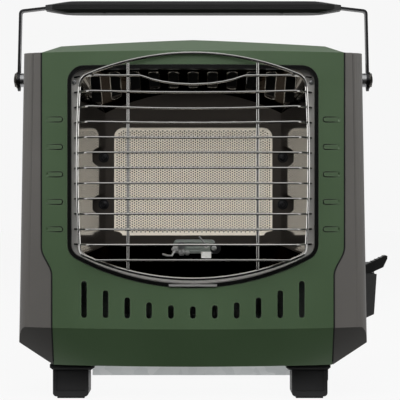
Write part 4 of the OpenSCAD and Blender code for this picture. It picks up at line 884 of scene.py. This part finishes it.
def foot_collars():
    """Each front foot's moulded collar, which stands out towards the middle under the body."""
    stand_out, ahead, corner = 2.4, 0.4, 1.2    # mm
    # mm below the foot's top, and mm drawn in from the collar's widest outline
    levels = ((4.4, 2.0), (3.2, 0.5), (2.8, 0.0), (1.4, 0.0))
    bm = bmesh.new()
    for part in left_and_right("front_feet"):
        low = Vector([min(p[i] for p in part) for i in range(3)]) / MM
        high = Vector([max(p[i] for p in part) for i in range(3)]) / MM
        if low.x < 0:
            high.x += stand_out
        else:
            low.x -= stand_out
        half_x, half_y = (high.x - low.x) / 2, (high.y - low.y) / 2 + ahead
        outline = []
        for k, (across, along) in enumerate(((1, 1), (-1, 1), (-1, -1), (1, -1))):
            outline += arc(across * (half_x - corner), along * (half_y - corner), corner,
                           90 * k, 90 * k + 90, 4)
        middle = Vector(((low.x + high.x) / 2, (low.y + high.y) / 2, 0)) * MM
        skin(bm, [ring(bm, middle, (UP, RIGHT, BACK),
                       [(x - math.copysign(inset, x), y - math.copysign(min(inset, 0.6), y))
                        for x, y in outline], high.z - down) for down, inset in levels])
    finished_piece("foot_collars", bm, feet_moulding, smooth=35)


KNOB_Y, KNOB_Z = 107, 89.5    # mm, the knob's axis, which points to the right
BESIDE_X = 175                # mm from the middle, clear of the right side
DOT_RING = 21.6               # mm, radius of the ring of dots
DOT_R, DOT_GROWTH = 0.55, 0.22    # mm, radius of the first dot, and what each next one has more


def knob_marks():
    """A raised pointer on the knob's bar, and round it five dots that grow with the setting."""
    knob = cad_surface("control_knob")
    bm = bmesh.new()
    tip = knob.ray_cast(at(BESIDE_X, KNOB_Y, KNOB_Z + 7.5), LEFT)[0]
    if tip is not None:
        outline = [(-0.8, 4.0), (0.8, 4.0), (0.8, 14.0), (0.0, 15.4), (-0.8, 14.0)]
        face = at(0, KNOB_Y, KNOB_Z)
        face.x = tip.x + 0.35 * MM
        pressed_plate(bm, outline, face, RIGHT, thick=0.6)
        finished_piece("knob_pointer", bm, mark_paint, body="knob")
    seat = cad_surface("control_bezel", "right_cover")
    bm = bmesh.new()
    dots = arc(KNOB_Y, KNOB_Z, DOT_RING, 150, 30, 4)
    for k, (y, z) in enumerate(dots):
        r = DOT_R + DOT_GROWTH * k
        hit, outwards, *_ = seat.ray_cast(at(BESIDE_X, y, z), LEFT)
        if hit is not None:
            turned_part(bm, hit - outwards * 0.2 * MM, outwards,
                        [(0.0, r), (0.4, r), (0.5, r * 0.8)], count=16)
    finished_piece("setting_dots", bm, mark_paint)


LEVER_X, LEVER_Y, LEVER_TILT = 124.5, 50, 24.9    # its pin in mm, and its blade's slope in degrees
RIB_PLACES = (26.0, 29.5, 33.0, 36.5)    # mm from the pin along the blade
BLADE_HALF = 5.6    # mm


def lever_ribs():
    """Four moulded ribs across the lever's blade where the thumb pushes."""
    blade, above, reach = cad_surface("lock_lever"), 150, 60 * MM
    bm = bmesh.new()
    for out in RIB_PLACES:
        x = LEVER_X + out * math.cos(math.radians(LEVER_TILT))
        hits = [blade.ray_cast(at(x, LEVER_Y + BLADE_HALF * (k / 4 - 1), above), DOWN, reach)[0]
                for k in range(9)]
        points = [hit for hit in hits if hit is not None]
        if len(points) > 2:
            drawn_wire(bm, points, radius=0.55, count=10)
    finished_piece("lever_ribs", bm, black_moulding, smooth=40, body="lever")


perforated_plaque()
louvre_rims()
mouth_screws()
pilot_group()
guard_welds()
soften("trim_ring", width_mm=1.5, segments=4)
for name, width_mm in (("control_knob", 0.5), ("front_feet", 0.8), ("rear_feet", 0.8)):
    soften(name, width_mm)
for name, width_mm in (("front_panel", 0.7), ("left_cover", 0.8), ("right_cover", 0.8),
                       ("roof_panel", 0.6), ("rear_panel", 0.6)):
    soften(name, width_mm, segments=2)
# Black cords in the seams, drawn as painted shade
seam_shade_cords()
rear_cover_screws()
foot_collars()
knob_marks()
lever_ribs()


# ---- floor, light and camera ----

WHITE = "#F7F7F7"
FLOOR = "#FBFBFB"    # with the lamps' own light on it, it comes out as WHITE
FLOOR_SHARE = 0.95    # how much of the floor's look is its plain colour, and the rest lamplight
AMBIENT = 0.16    # strength of the even light from all round
DARK_FELT, GREY_FELT = "#1A1A1A", "#444444"
MIDDLE = (0, 0, 0.18)    # metres, where most lamps point


def seen_directly(tree):
    """One for what the camera, gloss and glass see, and zero for what only lights the heater."""
    path = add(tree, "LightPath").outputs
    seen = path["Is Camera Ray"]
    for other in ("Is Glossy Ray", "Is Transmission Ray"):
        seen = add(tree, "Math", {0: seen, 1: path[other]}, operation="MAXIMUM").outputs[0]
    return seen


def flat_sheet(name, finish, place, turn, size):
    """A flat sheet of that size in metres."""
    bpy.ops.mesh.primitive_plane_add(size=1, location=place, rotation=turn)
    sheet = bpy.context.object
    sheet.name = name
    sheet.scale = size
    sheet.data.materials.append(finish)
    return sheet


def pale_floor():
    """Pale floor: renders as the plain background except where the heater shades it."""
    finish = bpy.data.materials.new("pale_painted_floor")
    tree = start_tree(finish)
    # Pale to the eye; only a little of its light is thrown back up on the heater
    bounced = add(tree, "LightPath").outputs["Is Diffuse Ray"]
    tone = add(tree, "Mix", {0: bounced, 6: linear("#F2F2F2"), 7: linear("#3C3C3C")},
               data_type="RGBA")
    lit = add(tree, "BsdfDiffuse", {"Color": tone.outputs[2]})
    plain = add(tree, "Emission", {"Color": linear(FLOOR), "Strength": 1.0})
    share = add(tree, "Math", {0: seen_directly(tree), 1: FLOOR_SHARE}, operation="MULTIPLY")
    mix = add(tree, "MixShader", {0: share.outputs[0], 1: lit.outputs[0], 2: plain.outputs[0]})
    add(tree, "OutputMaterial", {"Surface": mix.outputs[0]})
    floor = flat_sheet("floor", finish, (0, 0, 0), (0, 0, 0), (14, 14, 1))


def studio_world():
    """Even soft light; the background colour is what the camera, gloss and glass see."""
    world = bpy.data.worlds.new("studio")
    scene.world = world
    tree = start_tree(world)
    ambient = add(tree, "Background", {"Color": linear("#FFFFFF"), "Strength": AMBIENT})
    plain = add(tree, "Background", {"Color": linear(WHITE), "Strength": 1.0})
    mix = add(tree, "MixShader", {0: seen_directly(tree), 1: ambient.outputs[0],
                                  2: plain.outputs[0]})
    add(tree, "OutputWorld", {"Surface": mix.outputs[0]})


def softbox(name, place, width, height, watts, aim=MIDDLE):
    """A soft lamp of that size in metres, turned towards a point."""
    data = bpy.data.lights.new(name, "AREA")
    data.shape = "RECTANGLE"
    data.size, data.size_y, data.energy = width, height, watts
    lamp = put_in_scene(name, data)
    lamp.location = place
    lamp.rotation_euler = (Vector(aim) - Vector(place)).to_track_quat("-Z", "Y").to_euler()
    return lamp


def dark_card(name, place, size, tone, upright=False):
    """A dull card, seen only in reflections, so that bright metal and paint show their form."""
    finish = bpy.data.materials.new(name + "_felt")
    tree = start_tree(finish)
    glow = add(tree, "Emission", {"Color": linear(tone), "Strength": 1.0})
    add(tree, "OutputMaterial", {"Surface": glow.outputs[0]})
    turn = (math.pi / 2 if upright else 0, 0, 0)
    card = flat_sheet(name, finish, place, turn, (*size, 1))
    card.visible_camera = card.visible_diffuse = card.visible_shadow = False


pale_floor()
studio_world()
dark_card("black_card", (0, -1.95, 0.0), (5.0, 2.5), DARK_FELT, upright=True)
dark_card("black_cloth", (0, -1.05, 0.002), (4.0, 1.95), DARK_FELT)
dark_card("grey_ceiling", (0, 1.5, 2.2), (6.0, 3.0), GREY_FELT)
top = softbox("top_softbox", (0, -0.95, 1.12), width=2.2, height=1.0, watts=11.5,
              aim=(0, -0.02, 0.2))
for name, x in (("left_softbox", -1.4), ("right_softbox", 1.4)):
    softbox(name, (x, -0.6, 0.7), width=0.6, height=1.2, watts=3)
softbox("rear_softbox", (0, 1.2, 1.3), width=1.4, height=0.8, watts=5, aim=(0, 0, 0.15))
fill = softbox("front_fill", (0, -1.7, 0.8), width=1.6, height=0.9, watts=12)
softbox("front_glow", (0, -1.7, 1.0), width=1.6, height=0.9, watts=3.5)
# These two would glare on the panel's slope, so they light it without being reflected
top.visible_glossy = fill.visible_glossy = False

# Long lens level with the middle of the body; a pixel is 1/1625 of the distance
EYE = Vector((0.83, -1368.25, 161.0)) * MM
FOCAL_PX, PICTURE_PX, SENSOR_MM = 1625, 400, 36
lens = bpy.data.cameras.new("camera")
lens.sensor_width = SENSOR_MM
lens.lens = FOCAL_PX / PICTURE_PX * SENSOR_MM
camera = put_in_scene("camera", lens)
camera.location = EYE
camera.rotation_euler = (math.pi / 2, 0, 0)
scene.camera = camera
scene.view_settings.view_transform = "Standard"

bpy.context.view_layer.update()
